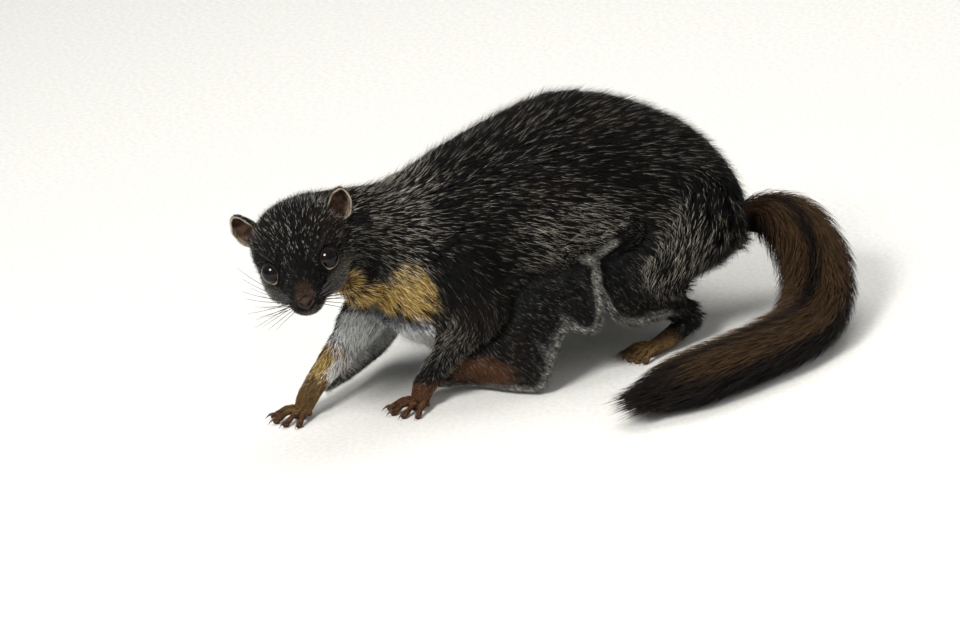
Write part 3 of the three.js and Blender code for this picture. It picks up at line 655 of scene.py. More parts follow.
def detailHead(piece):
    mesh = piece.data
    ahead, left, up = inHead(readAll(mesh.polygons, "center").astype(float)).T
    face = (ahead > -3) & (np.abs(left) < 17) & (up > -19) & (up < 14)
    only(piece)
    bpy.ops.object.mode_set(mode="EDIT")
    bpy.ops.mesh.select_all(action="DESELECT")
    bpy.ops.object.mode_set(mode="OBJECT")
    mesh.polygons.foreach_set("select", face)
    bpy.ops.object.mode_set(mode="EDIT")
    bpy.ops.mesh.subdivide(number_cuts=1, smoothness=0)
    bpy.ops.object.mode_set(mode="OBJECT")
    ahead, left, up = inHead(readPoints(mesh)).T
    vertexGroup(piece, "face", softStep(ahead, -4, 2) * (np.abs(left) < 22))
    applyModifier(piece, "SMOOTH", factor=0.5, iterations=3, vertex_group="face")
    points, normals = openEyes(readPoints(mesh)), readPoints(mesh, "normal")
    for name, (height, width) in facePress.items():
        points = press(points, normals, faceLines[name], height, width)
    for s in (1, -1):
        for start, end, height, width in faceForms:
            line = [onHead(ahead, left * s, up) for ahead, left, up in (start, end)]
            points = press(points, normals, line, height * mm, width * mm)
    writePoints(mesh, points)


def unwrap(piece):
    only(piece)
    bpy.ops.object.shade_smooth()
    editAll(piece)
    bpy.ops.mesh.quads_convert_to_tris()
    bpy.ops.uv.smart_project(angle_limit=math.radians(66), island_margin=0.001)
    bpy.ops.object.mode_set(mode="OBJECT")
    for layer in list(piece.data.uv_layers)[1:]:
        piece.data.uv_layers.remove(layer)
    piece.data.uv_layers[0].name = "OFBake"


detailHead(skin)
unwrap(skin)
print("face details:", len(skin.data.polygons), "triangles")


# Nose: a pad with two comma-shaped nostrils and a cleft
nosePad = {
    "half": (3.0, 3.9, 2.9), "middle": (22.1, 0, -4.4),
    "nostril": [(24.9, 1.3, -4.7), (24.6, 2.0, -4.0), (23.75, 2.9, -3.3)],
    "wing": [(24.4, 1.4, -2.4), (23.6, 3.0, -2.1)],    # the raised skin over each nostril
    "cleft": [(25.5, 0, -3), (24.8, 0, -6.5)],
}


def makeNose():
    half = [h * headShape["scale"] * mm for h in nosePad["half"]]
    piece = ballPiece("nosePad", placeOf(onHead(*nosePad["middle"]), half, headAhead, headLeft, headUp))
    points, normals = readPoints(piece.data), readPoints(piece.data, "normal")
    low = softStep(-inHead(points)[:, 2], 4.2, 7.0)
    points -= headLeft * ((points - headZero) @ headLeft * 0.42 * low)[:, None]    # narrower at the lip
    pit = np.zeros(len(points))
    for s in (1, -1):
        comma, wing = ([onHead(ahead, left * s, up) for ahead, left, up in nosePad[key]]
                       for key in ("nostril", "wing"))
        # the nostril pits, which the nose's material paints near-black as painted shade
        pit = np.maximum(pit, 1 - softStep(lineDistance(points, comma)[0], 0.55 * mm, 0.95 * mm))
        points = press(points, normals, comma, -1.5 * mm, 0.75 * mm)
        points = press(points, normals, wing, 0.35 * mm, 0.8 * mm)
    points = press(points, normals, [onHead(*p) for p in nosePad["cleft"]], -0.45 * mm, 0.38 * mm)
    writePoints(piece.data, points)
    paint(piece.data, "inside", 1 - pit)
    paint(piece.data, "rim", np.zeros(len(points)))
    applyModifier(piece, "SUBSURF", levels=1, render_levels=1)
    return piece


# Eyes: glossy balls with a raised cornea, between thin lid rims
def makeEye(side, name):
    low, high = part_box(["eye_left", "eye_right"][side])
    radius = (high[0] - low[0]) / 2
    look, up, across = eyeFrame(side)
    ball = ballPiece(name, placeOf(eyeMiddles[side], [radius] * 3, across, up, look), 64)
    points = readPoints(ball.data)
    out = unit(points - eyeMiddles[side])
    points += out * (eyeShape["cornea"] * softStep(out @ look, 0.55, 0.9))[:, None]
    writePoints(ball.data, points)
    paint(ball.data, "gaze", out @ look)
    opening = math.radians(eyeShape["open"])
    bpy.ops.mesh.primitive_torus_add(major_segments=64, minor_segments=16, minor_radius=eyeShape["rimThick"],
                                     major_radius=radius * math.sin(opening) + 0.1 * mm)
    rim = settle(bpy.context.active_object, name + "Lids",
                 placeOf(eyeMiddles[side] + look * radius * math.cos(opening), eyeShape["rimSquash"],
                         across, up, look))
    points = readPoints(rim.data)
    front = (points - eyeMiddles[side]) @ headAhead
    # the front corner is drawn down, and the upper lid hoods the eye
    points -= headUp * (eyeShape["corner"] * softStep(front, 3 * mm, 5.5 * mm))[:, None]
    above = softStep((points - eyeMiddles[side]) @ up, 1.5 * mm, 5 * mm)
    points += look * (eyeShape["hood"] * above)[:, None] - up * (eyeShape["droop"] * above)[:, None]
    writePoints(rim.data, points)
    low = softStep((eyeMiddles[side] - points) @ up, -2 * mm, 3 * mm)
    paint(rim.data, "rim", low * softStep(front, -3 * mm, 3 * mm))
    paint(rim.data, "inside", np.ones(len(points)))
    return ball, rim


# Ears: thin cups with a rolled rim and a pouch at the back edge
earShape = {"foot": (-20, 19.2, 11), "half": (4.6, 6.0, 9.2), "rise": 3.0,
            "wall": 0.75 * mm, "open": 0.4 * mm, "rimRound": 0.22 * mm}


def earFrame(side):
    s = (1, -1)[side]
    up = unit(headWay(-0.12, 0.42 * s, 0.9))
    facing = headWay(0.8, 0.6 * s, 0.05)
    facing = unit(facing - up * (facing @ up))
    foot = onHead(earShape["foot"][0], earShape["foot"][1] * s, earShape["foot"][2])
    return foot + up * earShape["rise"] * mm, facing, np.cross(up, facing), up


def makeEar(side, name):
    middle, facing, across, up = earFrame(side)
    half = [h * mm for h in earShape["half"]]
    piece = ballPiece(name, placeOf(middle, half, facing, across, up))
    editAll(piece)
    bpy.ops.mesh.bisect(plane_co=middle + facing * earShape["open"], plane_no=facing, clear_outer=True)
    bpy.ops.object.mode_set(mode="OBJECT")
    points = readPoints(piece.data)
    spot = (points - middle) @ np.array([facing, across, up]).T / mm
    s = (1, -1)[side]
    low = softStep(-spot[:, 2], -1, 8)
    spot[:, 1] *= 1 - 0.34 * low
    # a blunt point in front, the edges bent, and the cup a little waved
    spot[:, 2] += 1.8 * softStep(spot[:, 2], 1, 8) * softStep(spot[:, 1] * -s, -5, 3)
    spot[:, 0] += 1.1 * softStep(spot[:, 1] * s, 2, 7) - 0.9 * softStep(spot[:, 1] * -s, 2, 7)
    spot[:, 0] += 0.28 * np.sin(spot[:, 2] * 0.9 + spot[:, 1] * 0.5)
    writePoints(piece.data, middle + spot @ np.array([facing, across, up]) * mm)
    applyModifier(piece, "SOLIDIFY", thickness=earShape["wall"], offset=1.0)
    applyModifier(piece, "BEVEL", width=earShape["rimRound"], segments=2, limit_method="ANGLE",
                  angle_limit=math.radians(60))
    applyModifier(piece, "SUBSURF", levels=1, render_levels=1)
    points, normals = readPoints(piece.data), readPoints(piece.data, "normal")
    paint(piece.data, "inside", softStep(normals @ facing, -0.1, 0.5))
    paint(piece.data, "rim", softStep((points - middle) @ facing, -0.9 * mm, earShape["open"]))
    unwrap(piece)
    return piece


# Claws: one model, bent and pinched, copied to each digit
clawShape = {
    "length": 5.4 * mm, "girth": 0.7 * mm, "around": 14, "rings": 10,
    "arch": [2.1, 2.75, 2.75, 2.05, 0.75],    # how high its middle runs, from root to tip
    "root": 2.05 * mm,                        # sunk into the digit
}


def makeClaws():
    bpy.ops.mesh.primitive_cone_add(vertices=clawShape["around"], radius1=1, radius2=0.03, depth=1)
    model = bpy.context.active_object
    bpy.ops.object.mode_set(mode="EDIT")
    for n in range(1, clawShape["rings"]):
        bpy.ops.mesh.select_all(action="SELECT")
        bpy.ops.mesh.bisect(plane_co=(0, 0, n / clawShape["rings"] - 0.5), plane_no=(0, 0, 1))
    bpy.ops.object.mode_set(mode="OBJECT")
    points = readPoints(model.data)
    share = points[:, 2] + 0.5
    ring = points[:, :2] / np.maximum(1 - 0.97 * share, 0.03)[:, None]
    girth = clawShape["girth"] * (1 - share ** 1.7) + 0.05 * mm
    rise = np.interp(share, np.linspace(0, 1, 5), clawShape["arch"]) * mm
    shaped = np.stack([share * clawShape["length"], ring[:, 0] * girth * 0.72,
                       rise + ring[:, 1] * girth * (1.15 + 0.25 * (ring[:, 1] < 0))], axis=1)
    pieces = []
    for kind in ("hand", "foot"):
        for side in ("left", "right"):
            for n, (tip, way) in enumerate(clawPlaces(kind, side), 1):
                start = tip - way * clawShape["root"]
                start[2] = 0
                turn = np.array([way, np.cross([0, 0, 1], way), [0, 0, 1]])
                piece = newPiece("claw" + kind.title() + side.title() + str(n), model.data.copy())
                writePoints(piece.data, start + shaped @ turn)
                paint(piece.data, "along", share)
                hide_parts(f"claw_{kind}_{side}_{n}")
                pieces.append(piece)
    bpy.data.objects.remove(model)
    return pieces


# The coat: thin tufts with roots on a skin, lying along it
coatShape = {
    "under": {"tufts": 50000, "girth": 0.034, "length": 0.85, "rise": 0.75, "stray": 1.15,
              "steps": (0, 0.5, 1.0), "guard": 0.0},
    "guard": {"tufts": 62000, "girth": 0.015, "length": 1.05, "rise": 1.2, "stray": 1.5,
              "steps": (0, 1.0), "guard": 1.0},
    "short": {"tufts": 106000, "girth": 0.036, "length": 1.0, "rise": 1.0, "stray": 1.3,
              "steps": (0, 1.0), "guard": 0.55},
    "shortest": (4.6 * mm, 5.4 * mm),    # between these lengths the short kind gives way to the long ones
    "fewest": 40,                        # tufts that make a piece
    "swirl": 0.13, "curl": 0.05,         # spread of the way a tuft points, and of its bend sideways
    "lengths": (0.78, 1.18), "thinnest": 0.07 * mm, "thickest": 0.26 * mm, "girths": (0.7, 1.25),
    "rooted": 0.12 * mm,                 # depth of the roots in the skin
    "floor": 0.25 * mm,
    "tailTufts": 19500, "tailGirths": (0.15, 0.27), "tailTaper": [1.0, 0.95, 0.62, 0],
    "tailSteps": [0, 0.3, 0.65, 1.0],
    "earTufts": 2600,
    "mostInPiece": 190000,
    "patch": 0.003,
}


def rootsOn(piece, weights, count, layers):
    # Roots spread evenly over a mesh by the weight at each vertex, with the layers' values at each
    mesh = piece.data
    mesh.calc_loop_triangles()
    corners, loops = (readAll(mesh.loop_triangles, what, kind=np.int32) for what in ("vertices", "loops"))
    points = readPoints(mesh)
    a, b, c = (points[corners[:, k]] for k in range(3))
    area = np.linalg.norm(np.cross(b - a, c - a), axis=1) / 2
    total = np.cumsum(area * weights[corners].mean(axis=1))
    picks = np.searchsorted(total, (np.arange(count) + draw.random(count)) / count * total[-1])
    picks = np.minimum(picks, len(corners) - 1)
    share = draw.random((count, 2))
    share = np.where(share.sum(axis=1, keepdims=True) > 1, 1 - share, share)
    share = np.column_stack([1 - share.sum(axis=1), share])

    def spread(values):
        return np.einsum("nk,nk...->n...", share, values[corners[picks]])
    found = {key: spread(value) for key, value in layers.items()}
    found["point"] = spread(points)
    found["normal"] = unit(spread(readPoints(mesh, "normal")))
    flat = readAll(mesh.uv_layers["OFBake"].data, "uv", 2)
    found["uv"] = np.einsum("nk,nkj->nj", share, flat[loops[picks]])
    return found


def tuftMesh(name, batch, line, side, above, widths, uv, values):
    # line is tufts x rings x 3: three-sided rings along it, and a point at its end
    line, side, above = line[batch], side[batch][:, None], above[batch][:, None]
    count, rings = line.shape[:2]
    walls = rings - 1
    wide = widths[batch][:, :walls, None]
    corners = np.stack([line[:, :walls] + side * wide, line[:, :walls] - side * wide,
                        line[:, :walls] + above * wide * 0.9], axis=2)
    points = np.concatenate([corners.reshape(count, walls * 3, 3), line[:, -1:]], axis=1)
    points[..., 2] = np.maximum(points[..., 2], coatShape["floor"])
    each = walls * 3 + 1
    faces = [[0, 2, 1]]
    for ring in range(walls - 1):
        for k in range(3):
            p, q = ring * 3 + k, ring * 3 + (k + 1) % 3
            faces += [[p, q, q + 3], [p, q + 3, p + 3]]
    last = (walls - 1) * 3
    faces += [[last + k, last + (k + 1) % 3, each - 1] for k in range(3)]
    faces = (np.arange(count)[:, None, None] * each + np.array(faces)[None]).reshape(-1, 3)
    piece = triangleMesh(name, points.reshape(-1, 3), faces)
    along = np.concatenate([np.repeat(np.linspace(0, 1, rings)[:walls], 3), [1.0]])
    paint(piece.data, "along", np.tile(along, count))
    for key, value in values.items():
        paint(piece.data, key, np.repeat(value[batch], each))
    shift = np.concatenate([np.tile([-0.5, 0.5, 0.0], walls), [0.0]]) * coatShape["patch"]
    u = uv[batch][:, :1] + shift[None]
    v = uv[batch][:, 1:] + (along[None] - 0.5) * coatShape["patch"]
    layer = piece.data.uv_layers.new(name="OFBake")
    flat = np.stack([u.ravel(), v.ravel()], 1)[faces.ravel()]
    layer.data.foreach_set("uv", flat.astype(np.float32).ravel())
    piece.data.shade_smooth()
    return piece


# Where each colour of the coat lies: middles and half sizes (mm: ahead, left, up), and for those
# on the head in the head's own frame
zones = {
    "pale": [(at(54, 4, 28), (22, 22, 15)), (at(68, -12, 34), (17, 13, 12))],
    "belly": [(at(-20, 0, 17), (88, 34, 16)), (at(60, -26, 12), (44, 22, 20))],
    # painted shadow: a thin blue-grey band across the top of the chest, under the chin
    "slate": [(at(60, 4, 41), (12, 24, 4)), (at(76, 2, 50), (9, 14, 4))],
    "ochre": [(at(57, 21, 56), (11, 9, 14)), (at(70, 6, 55), (11, 16, 8)), (at(84, 8, 66), (8, 9, 7)),
              (at(85, -13, 22), (15, 9, 12))],
    "straw": [(at(-54, 40, 3), (16, 12, 8)), (at(-62, -40, 3), (16, 12, 8)), (at(99, -8, 9), (17, 12, 11))],
    "rust": [(at(26, 30, 13), (16, 14, 8)), (at(62, 22, 4), (20, 14, 9)), (at(114, -6, 3), (16, 14, 8))],
    "umber": [(onHead(20, 0, -1.5), (6, 4, 4))],
    "grey": [(onHead(2, 16, -7), (12, 8, 7)), (onHead(2, -16, -7), (12, 8, 7)),
             (onHead(17, 0, -10), (8, 7, 4))],
    "frost": [(at(57, 18, 86), (13, 15, 20)), (at(43, 33, 28), (15, 13, 17)), (at(56, -4, 100), (26, 24, 14)),
              (onHead(-16, 0, 9), (10, 22, 13)), (onHead(-14, 20, -2), (5, 8, 13)),
              (onHead(-14, -20, -2), (5, 8, 13)), (at(-70, 46, 52), (24, 10, 24)),
              (at(-16, 41, 74), (30, 10, 16))],
    # fewer pale-tipped hairs: on the face this is the coat's own dark colour, at the shoulder behind the neck
    # collar it is painted shade
    "dark": [(onHead(12, 0, 3), (9, 8, 8)), (at(33, 38, 64), (15, 12, 20)), (at(-44, 34, 100), (13, 14, 14)),
             (at(-106, 12, 62), (14, 26, 30)), (at(-48, 48, 52), (9, 9, 20))],
}


def zoneShares(points, normals):
    shares = {}
    for name, eggs in zones.items():
        value = np.zeros(len(points))
        for middle, half in eggs:
            if np.linalg.norm(middle - headZero) < headShape["reach"]:
                local = (inHead(points) - inHead(middle[None])) / np.array(half)
            else:
                local = (points - middle) / (np.array([half[1], half[0], half[2]]) * mm)
            value = np.maximum(value, softStep(1.5 - np.linalg.norm(local, axis=1), 0, 0.95))
        shares[name] = value
    shares["lips"] = 1 - softStep(lineDistance(points, faceLines["mouth"])[0], 0.5 * mm, 1.2 * mm)
    # the belly's colour stays on what faces down or inwards, and off the outside of the legs
    left, ahead = points[:, 0], points[:, 1]
    inward = -normals[:, 2] - normals[:, 0] * np.sign(left - at(0, 0, 0)[0]) * 0.9
    farLeg = left < at(0, -10, 0)[0]
    innerSide = np.where(farLeg, softStep(normals[:, 0], -0.45, 0.1), 1)
    for name in ("pale", "ochre", "slate"):
        shares[name] *= innerSide
    nearLeg = softStep(left, at(0, 15, 0)[0], at(0, 22, 0)[0]) * (ahead < at(36, 0, 0)[1])
    shares["pale"] *= 1 - nearLeg * softStep(normals[:, 0], -0.7, -0.2)
    chest = np.where(ahead < at(46, 0, 0)[1], 1, softStep(inward, -0.3, 0.2))
    belly = shares.pop("belly") * softStep(inward, 0.0, 0.5) * (1 - nearLeg)
    shares["pale"] = np.maximum(shares["pale"] * chest, belly)
    rim = np.minimum(*(lineDistance(points, line)[0] for line in flapLines.values()))
    for line in forkLines:
        gap, along = lineDistance(points, line)
        rim = np.minimum(rim, gap - 0.4 * mm + 2.6 * mm * softStep(along, 0.45, 1.0))
    shares["rim"] = softStep(-rim, -2.9 * mm, -2.2 * mm)
    gap, along = lineDistance(points, tailLine[::4])
    near = (1 - softStep(gap, 20 * mm, 26 * mm)) * softStep(along, 0.0, 0.05)
    top = np.abs(roundTail(points, along) - math.pi / 2)
    shares["tail"] = near
    shares["tailBand"] = near * softStep(top, 0.12, 0.5) * (1 - softStep(top, 1.0, 1.6)) \
        * (1 - softStep(along, 0.72, 0.95))
    return shares


def sizeLayers(piece):
    points = readPoints(piece.data)
    coat = coatAt(points)
    layers = {"lie": coat["lie"], "length": coat["length"], "depth": coat["depth"]}
    for name, value in zoneShares(points, readPoints(piece.data, "normal")).items():
        layers["zone_" + name] = value
        paint(piece.data, name, value)
    paint(piece.data, "along", np.full(len(points), 0.3))
    paint(piece.data, "shade", np.full(len(points), 0.5))
    paint(piece.data, "guard", np.zeros(len(points)))
    layers.update({"part_" + part: value for part, value in coat["parts"].items()})
    return layers


# Where no hair grows: from the first radius none, from the second all of it
bareSpots = {
    "eye": 7.2 * mm, "eyeMargin": 2.5,    # degrees beyond the lids
    "ear": (6.0 * mm, 7.4 * mm), "nose": (2.9 * mm, 3.6 * mm), "lips": (0.4 * mm, 0.9 * mm),
    "sole": 2.4 * mm,
}


def rootWeights(points, normals, layers):
    # Where hair grows at all, and how close: closest where it is short
    weights = 1 / np.maximum(layers["length"] / mm, 1.2) ** 1.2
    weights *= 1 - softStep(layers["part_tail"], 0.3, 0.8)
    least = math.cos(math.radians(eyeShape["open"] + bareSpots["eyeMargin"]))
    for side in (0, 1):
        ahead = (points - eyeMiddles[side]) @ eyeFrame(side)[0]
        far = np.linalg.norm(points - eyeMiddles[side], axis=1)
        weights *= 1 - (far < bareSpots["eye"]) * (ahead > far * least)
        middle, facing = earFrame(side)[:2]
        cup = np.linalg.norm(points - middle - facing * 1.5 * mm, axis=1)
        weights *= softStep(cup, *bareSpots["ear"])
    weights *= softStep(np.linalg.norm(points - onHead(*nosePad["middle"]), axis=1), *bareSpots["nose"])
    weights *= softStep(lineDistance(points, faceLines["mouth"])[0], *bareSpots["lips"]) * 0.999 + 0.001
    underPaw = (points[:, 2] < bareSpots["sole"]) & (normals[:, 2] < -0.2)
    return weights * np.where(underPaw, 0.02, 1)


def tuftValues(found, guard):
    values = {key[5:]: found[key] for key in found if key.startswith("zone_")}
    values["shade"] = draw.random(len(found["point"]))
    values["guard"] = np.full(len(found["point"]), guard)
    return values


def growBody(skin, layers):
    weights = rootWeights(readPoints(skin.data), readPoints(skin.data, "normal"), layers)
    isLong = softStep(layers["length"], *coatShape["shortest"])
    pieces = []
    for kind in ("under", "guard", "short"):
        shape = coatShape[kind]
        found = rootsOn(skin, weights * ((1 - isLong) if kind == "short" else isLong), shape["tufts"], layers)
        normal, count = found["normal"], shape["tufts"]
        way = unit(found["lie"] + draw.normal(0, coatShape["swirl"], (count, 3)))
        way = unit(way - normal * dots(way, normal)[:, None])
        side = np.cross(normal, way)
        length = found["length"] * shape["length"] * draw.uniform(*coatShape["lengths"], count)
        rise = found["depth"] * shape["rise"] * draw.uniform(0.65, shape["stray"], count) + length * 0.03
        t = np.array(shape["steps"])
        line = found["point"][:, None] - normal[:, None] * coatShape["rooted"] \
            + way[:, None] * (length[:, None] * t)[..., None] \
            + normal[:, None] * (rise[:, None] * (1 - (1 - t) ** 1.8))[..., None]
        curl = draw.normal(0, coatShape["curl"], count)
        line += side[:, None] * (curl[:, None] * length[:, None] * t ** 2)[..., None]
        half = np.clip(length * shape["girth"], coatShape["thinnest"], coatShape["thickest"])
        half = half * draw.uniform(*coatShape["girths"], count)
        widths = half[:, None] * (1 - 0.8 * t ** 2)
        values = tuftValues(found, shape["guard"])
        names = [name for name in layers if name.startswith("part_")]
        best = np.argmax(np.stack([found[name] for name in names], axis=1), axis=1)
        triangles = 6 * len(t) - 8    # in a tuft
        for n, name in enumerate(names):
            chosen = np.flatnonzero(best == n)
            if len(chosen) < coatShape["fewest"]:
                continue
            chosen = chosen[np.argsort(found["point"][chosen, 1])]
            batches = np.array_split(chosen, math.ceil(len(chosen) * triangles / coatShape["mostInPiece"]))
            for m, batch in enumerate(batches):
                label = kind + name[5:].title() + (str(m + 1) if len(batches) > 1 else "")
                pieces.append(tuftMesh(label, batch, line, side, normal, widths, found["uv"], values))
    return pieces


def growEar(ear, side, name):
    middle, facing, across, up = earFrame(side)
    points = readPoints(ear.data)
    zero = np.zeros(len(points))
    inside = readAll(ear.data.attributes["inside"].data, "value", 1)[:, 0]
    layers = {"lie": np.tile(unit(up - facing * 0.15), (len(points), 1)), "length": zero + 2.1 * mm,
              "depth": zero + 0.45 * mm, "zone_frost": zero + 0.3}
    for key in ("rim", "pale", "slate", "ochre", "straw", "rust", "umber", "grey", "dark", "lips", "tail",
                "tailBand"):
        layers["zone_" + key] = zero
    low = softStep(-((points - middle) @ up), 2 * mm, 6 * mm)
    found = rootsOn(ear, np.clip(1 - inside + 0.6 * low, 0.02, 1), coatShape["earTufts"], layers)
    normal, lie, count = found["normal"], found["lie"], coatShape["earTufts"]
    way = unit(lie - normal * dots(lie, normal)[:, None] + draw.normal(0, 0.12, (count, 3)))
    length = found["length"] * draw.uniform(0.6, 1.15, count)
    t = np.array([0, 1.0])
    line = found["point"][:, None] + way[:, None] * (length[:, None] * t)[..., None] \
        + normal[:, None] * (found["depth"][:, None] * t)[..., None]
    widths = np.full((count, 2), 0.075 * mm)
    return tuftMesh(name, np.arange(count), line, np.cross(normal, way), normal, widths, found["uv"],
                    tuftValues(found, 0.5))


def growTail(skin, layers):
    weights = softStep(layers["part_tail"], 0.2, 0.6)
    count = coatShape["tailTufts"]
    found = rootsOn(skin, weights, count, layers)
    gap, share = lineDistance(found["point"], tailLine)
    angle = roundTail(found["point"], share, tailShape["thick"], tailShape["wide"])
    girth = tailGirth(share)
    reach = (14 + 14 * girth) * mm * draw.uniform(0.7, 1.15, count)
    out = np.where(share > 0.9, draw.uniform(0, 1.02, count) ** 0.6, draw.uniform(0.66, 1.08, count))
    start = share * tailLength
    turn = draw.normal(0, 0.1, count)
    t = np.array(coatShape["tailSteps"])
    rootOut = np.minimum(gap / (girth * tailShape["thick"]), tailShape["core"]) * 0.9
    lift = 1 - (1 - t) ** 1.5
    line = inTail(start[:, None] + reach[:, None] * t, angle[:, None] + turn[:, None] * t,
                  rootOut[:, None] + (out - rootOut)[:, None] * lift)
    line[:, 0] = found["point"] - found["normal"] * 0.2 * mm
    ways = unit(line[:, -1] - line[:, 0])
    normal = unit(found["normal"] - ways * dots(ways, found["normal"])[:, None])
    side = np.cross(normal, ways)
    widths = (draw.uniform(*coatShape["tailGirths"], count) * mm)[:, None] * coatShape["tailTaper"]
    values = tuftValues(found, 0.0)
    return [tuftMesh("coatTail" + str(m), batch, line, side, normal, widths, found["uv"], values)
            for m, batch in enumerate(np.array_split(np.argsort(share), 2), 1)]


# Whiskers: fans of fine bent hairs from the lip pads, and a few over each eye
whiskerShape = {"rows": 4, "inRow": 4, "length": (17, 29), "overEye": 11 * mm, "root": 0.2 * mm,
                "tip": 0.06 * mm}


def makeWhiskers():
    lines = []
    for s in (1, -1):
        for row in range(whiskerShape["rows"]):
            for n in range(whiskerShape["inRow"]):
                back = n / (whiskerShape["inRow"] - 1)
                start = onHead(18.6 - 4.6 * back - 0.3 * row, (4.0 + 1.9 * back) * s, -4.4 - 1.15 * row)
                low, high = whiskerShape["length"]
                length = (low + (high - low) * back * draw.uniform(0.85, 1.1)) * mm
                way = unit(headWay(0.1 - 0.55 * back, s, 0.28 - 0.24 * row + draw.normal(0, 0.07)))
                bend = headWay(-0.9, 0.0, 0.25 - 0.24 * row)
                lines.append((start, way, bend, length, 1.0))
        for n in range(3):
            start = onHead(6.5 - 1.6 * n, (9.5 + n) * s, 9.8)
            way = unit(headWay(0.25, 0.5 * s, 0.9))
            lines.append((start, way, headWay(-0.6, 0.1 * s, -0.1), whiskerShape["overEye"], 0.7))
    pieces = []
    t = np.linspace(0, 1, 9)
    for start, way, bend, length, thick in lines:
        line = start + way * (t * length)[:, None] + bend * (t ** 2 * length * 0.42)[:, None] - way * 0.6 * mm
        girth = (whiskerShape["root"] + (whiskerShape["tip"] - whiskerShape["root"]) * t) * thick
        pieces.append(tubeAlong("whisker", line, girth, girth, 6))
    return joinPieces(pieces, "whiskers")


# Materials
def tint(code):
    parts = [int(code[n:n + 2], 16) / 255 for n in (0, 2, 4)]
    return tuple(p / 12.92 if p <= 0.04045 else ((p + 0.055) / 1.055) ** 2.4 for p in parts) + (1,)


def newMaterial(name):
    material = bpy.data.materials.new(name)
    material.use_nodes = True
    tree = material.node_tree
    return material, tree, tree.nodes["Principled BSDF"]


def put(tree, node, inputs):
    for key, value in dict(inputs).items():
        if isinstance(value, bpy.types.NodeSocket):
            tree.links.new(value, node.inputs[key])
        else:
            node.inputs[key].default_value = value


def place(tree, kind, inputs=(), **settings):
    made = tree.nodes.new(kind)
    for key, value in settings.items():
        setattr(made, key, value)
    put(tree, made, inputs)
    return made


def mixColour(tree, share, first, second):
    return place(tree, "ShaderNodeMix", {0: share, 6: first, 7: second}, data_type="RGBA").outputs[2]


def numbers(tree, kind, first, second=0.0):
    return place(tree, "ShaderNodeMath", {0: first, 1: second}, operation=kind, use_clamp=True).outputs[0]


def attribute(tree, name):
    return place(tree, "ShaderNodeAttribute", attribute_name=name).outputs["Fac"]


def mapped(tree, value, low, high, start=0.0, end=1.0):
    return place(tree, "ShaderNodeMapRange", {0: value, 1: low, 2: high, 3: start, 4: end},
                 interpolation_type="SMOOTHSTEP").outputs[0]


def noise(tree, scale, detail=2.0, stretch=None):
    coordinates = place(tree, "ShaderNodeTexCoord").outputs["Object"]
    if stretch:
        coordinates = place(tree, "ShaderNodeMapping", {0: coordinates, 3: stretch}).outputs[0]
    inputs = {0: coordinates, "Scale": scale, "Detail": detail}
    return place(tree, "ShaderNodeTexNoise", inputs).outputs["Fac"]


def bumps(tree, height, strength, distance):
    inputs = {"Height": height, "Strength": strength, "Distance": distance}
    return place(tree, "ShaderNodeBump", inputs).outputs[0]


# 4c515c is the blue-grey of the painted shadow under the chin
coatColours = {
    "root": "040404", "tip": "0e0c0a", "frost": "dfd8c4", "brown": "1c140e",
    "pale": "f4f4f0", "paleRoot": "a4aab4", "slate": "4c515c", "ochre": "b8923f", "ochreTip": "dcc68c",
    "ochreRoot": "3a2813", "straw": "7c5f36", "rust": "7c5030", "umber": "34251b", "grey": "6f6a5e",
    "rim": "b7b3a8", "rimDark": "161514",
    "tail": "17100b", "tailBand": "4f3a22", "tailTip": "0a0806",
}


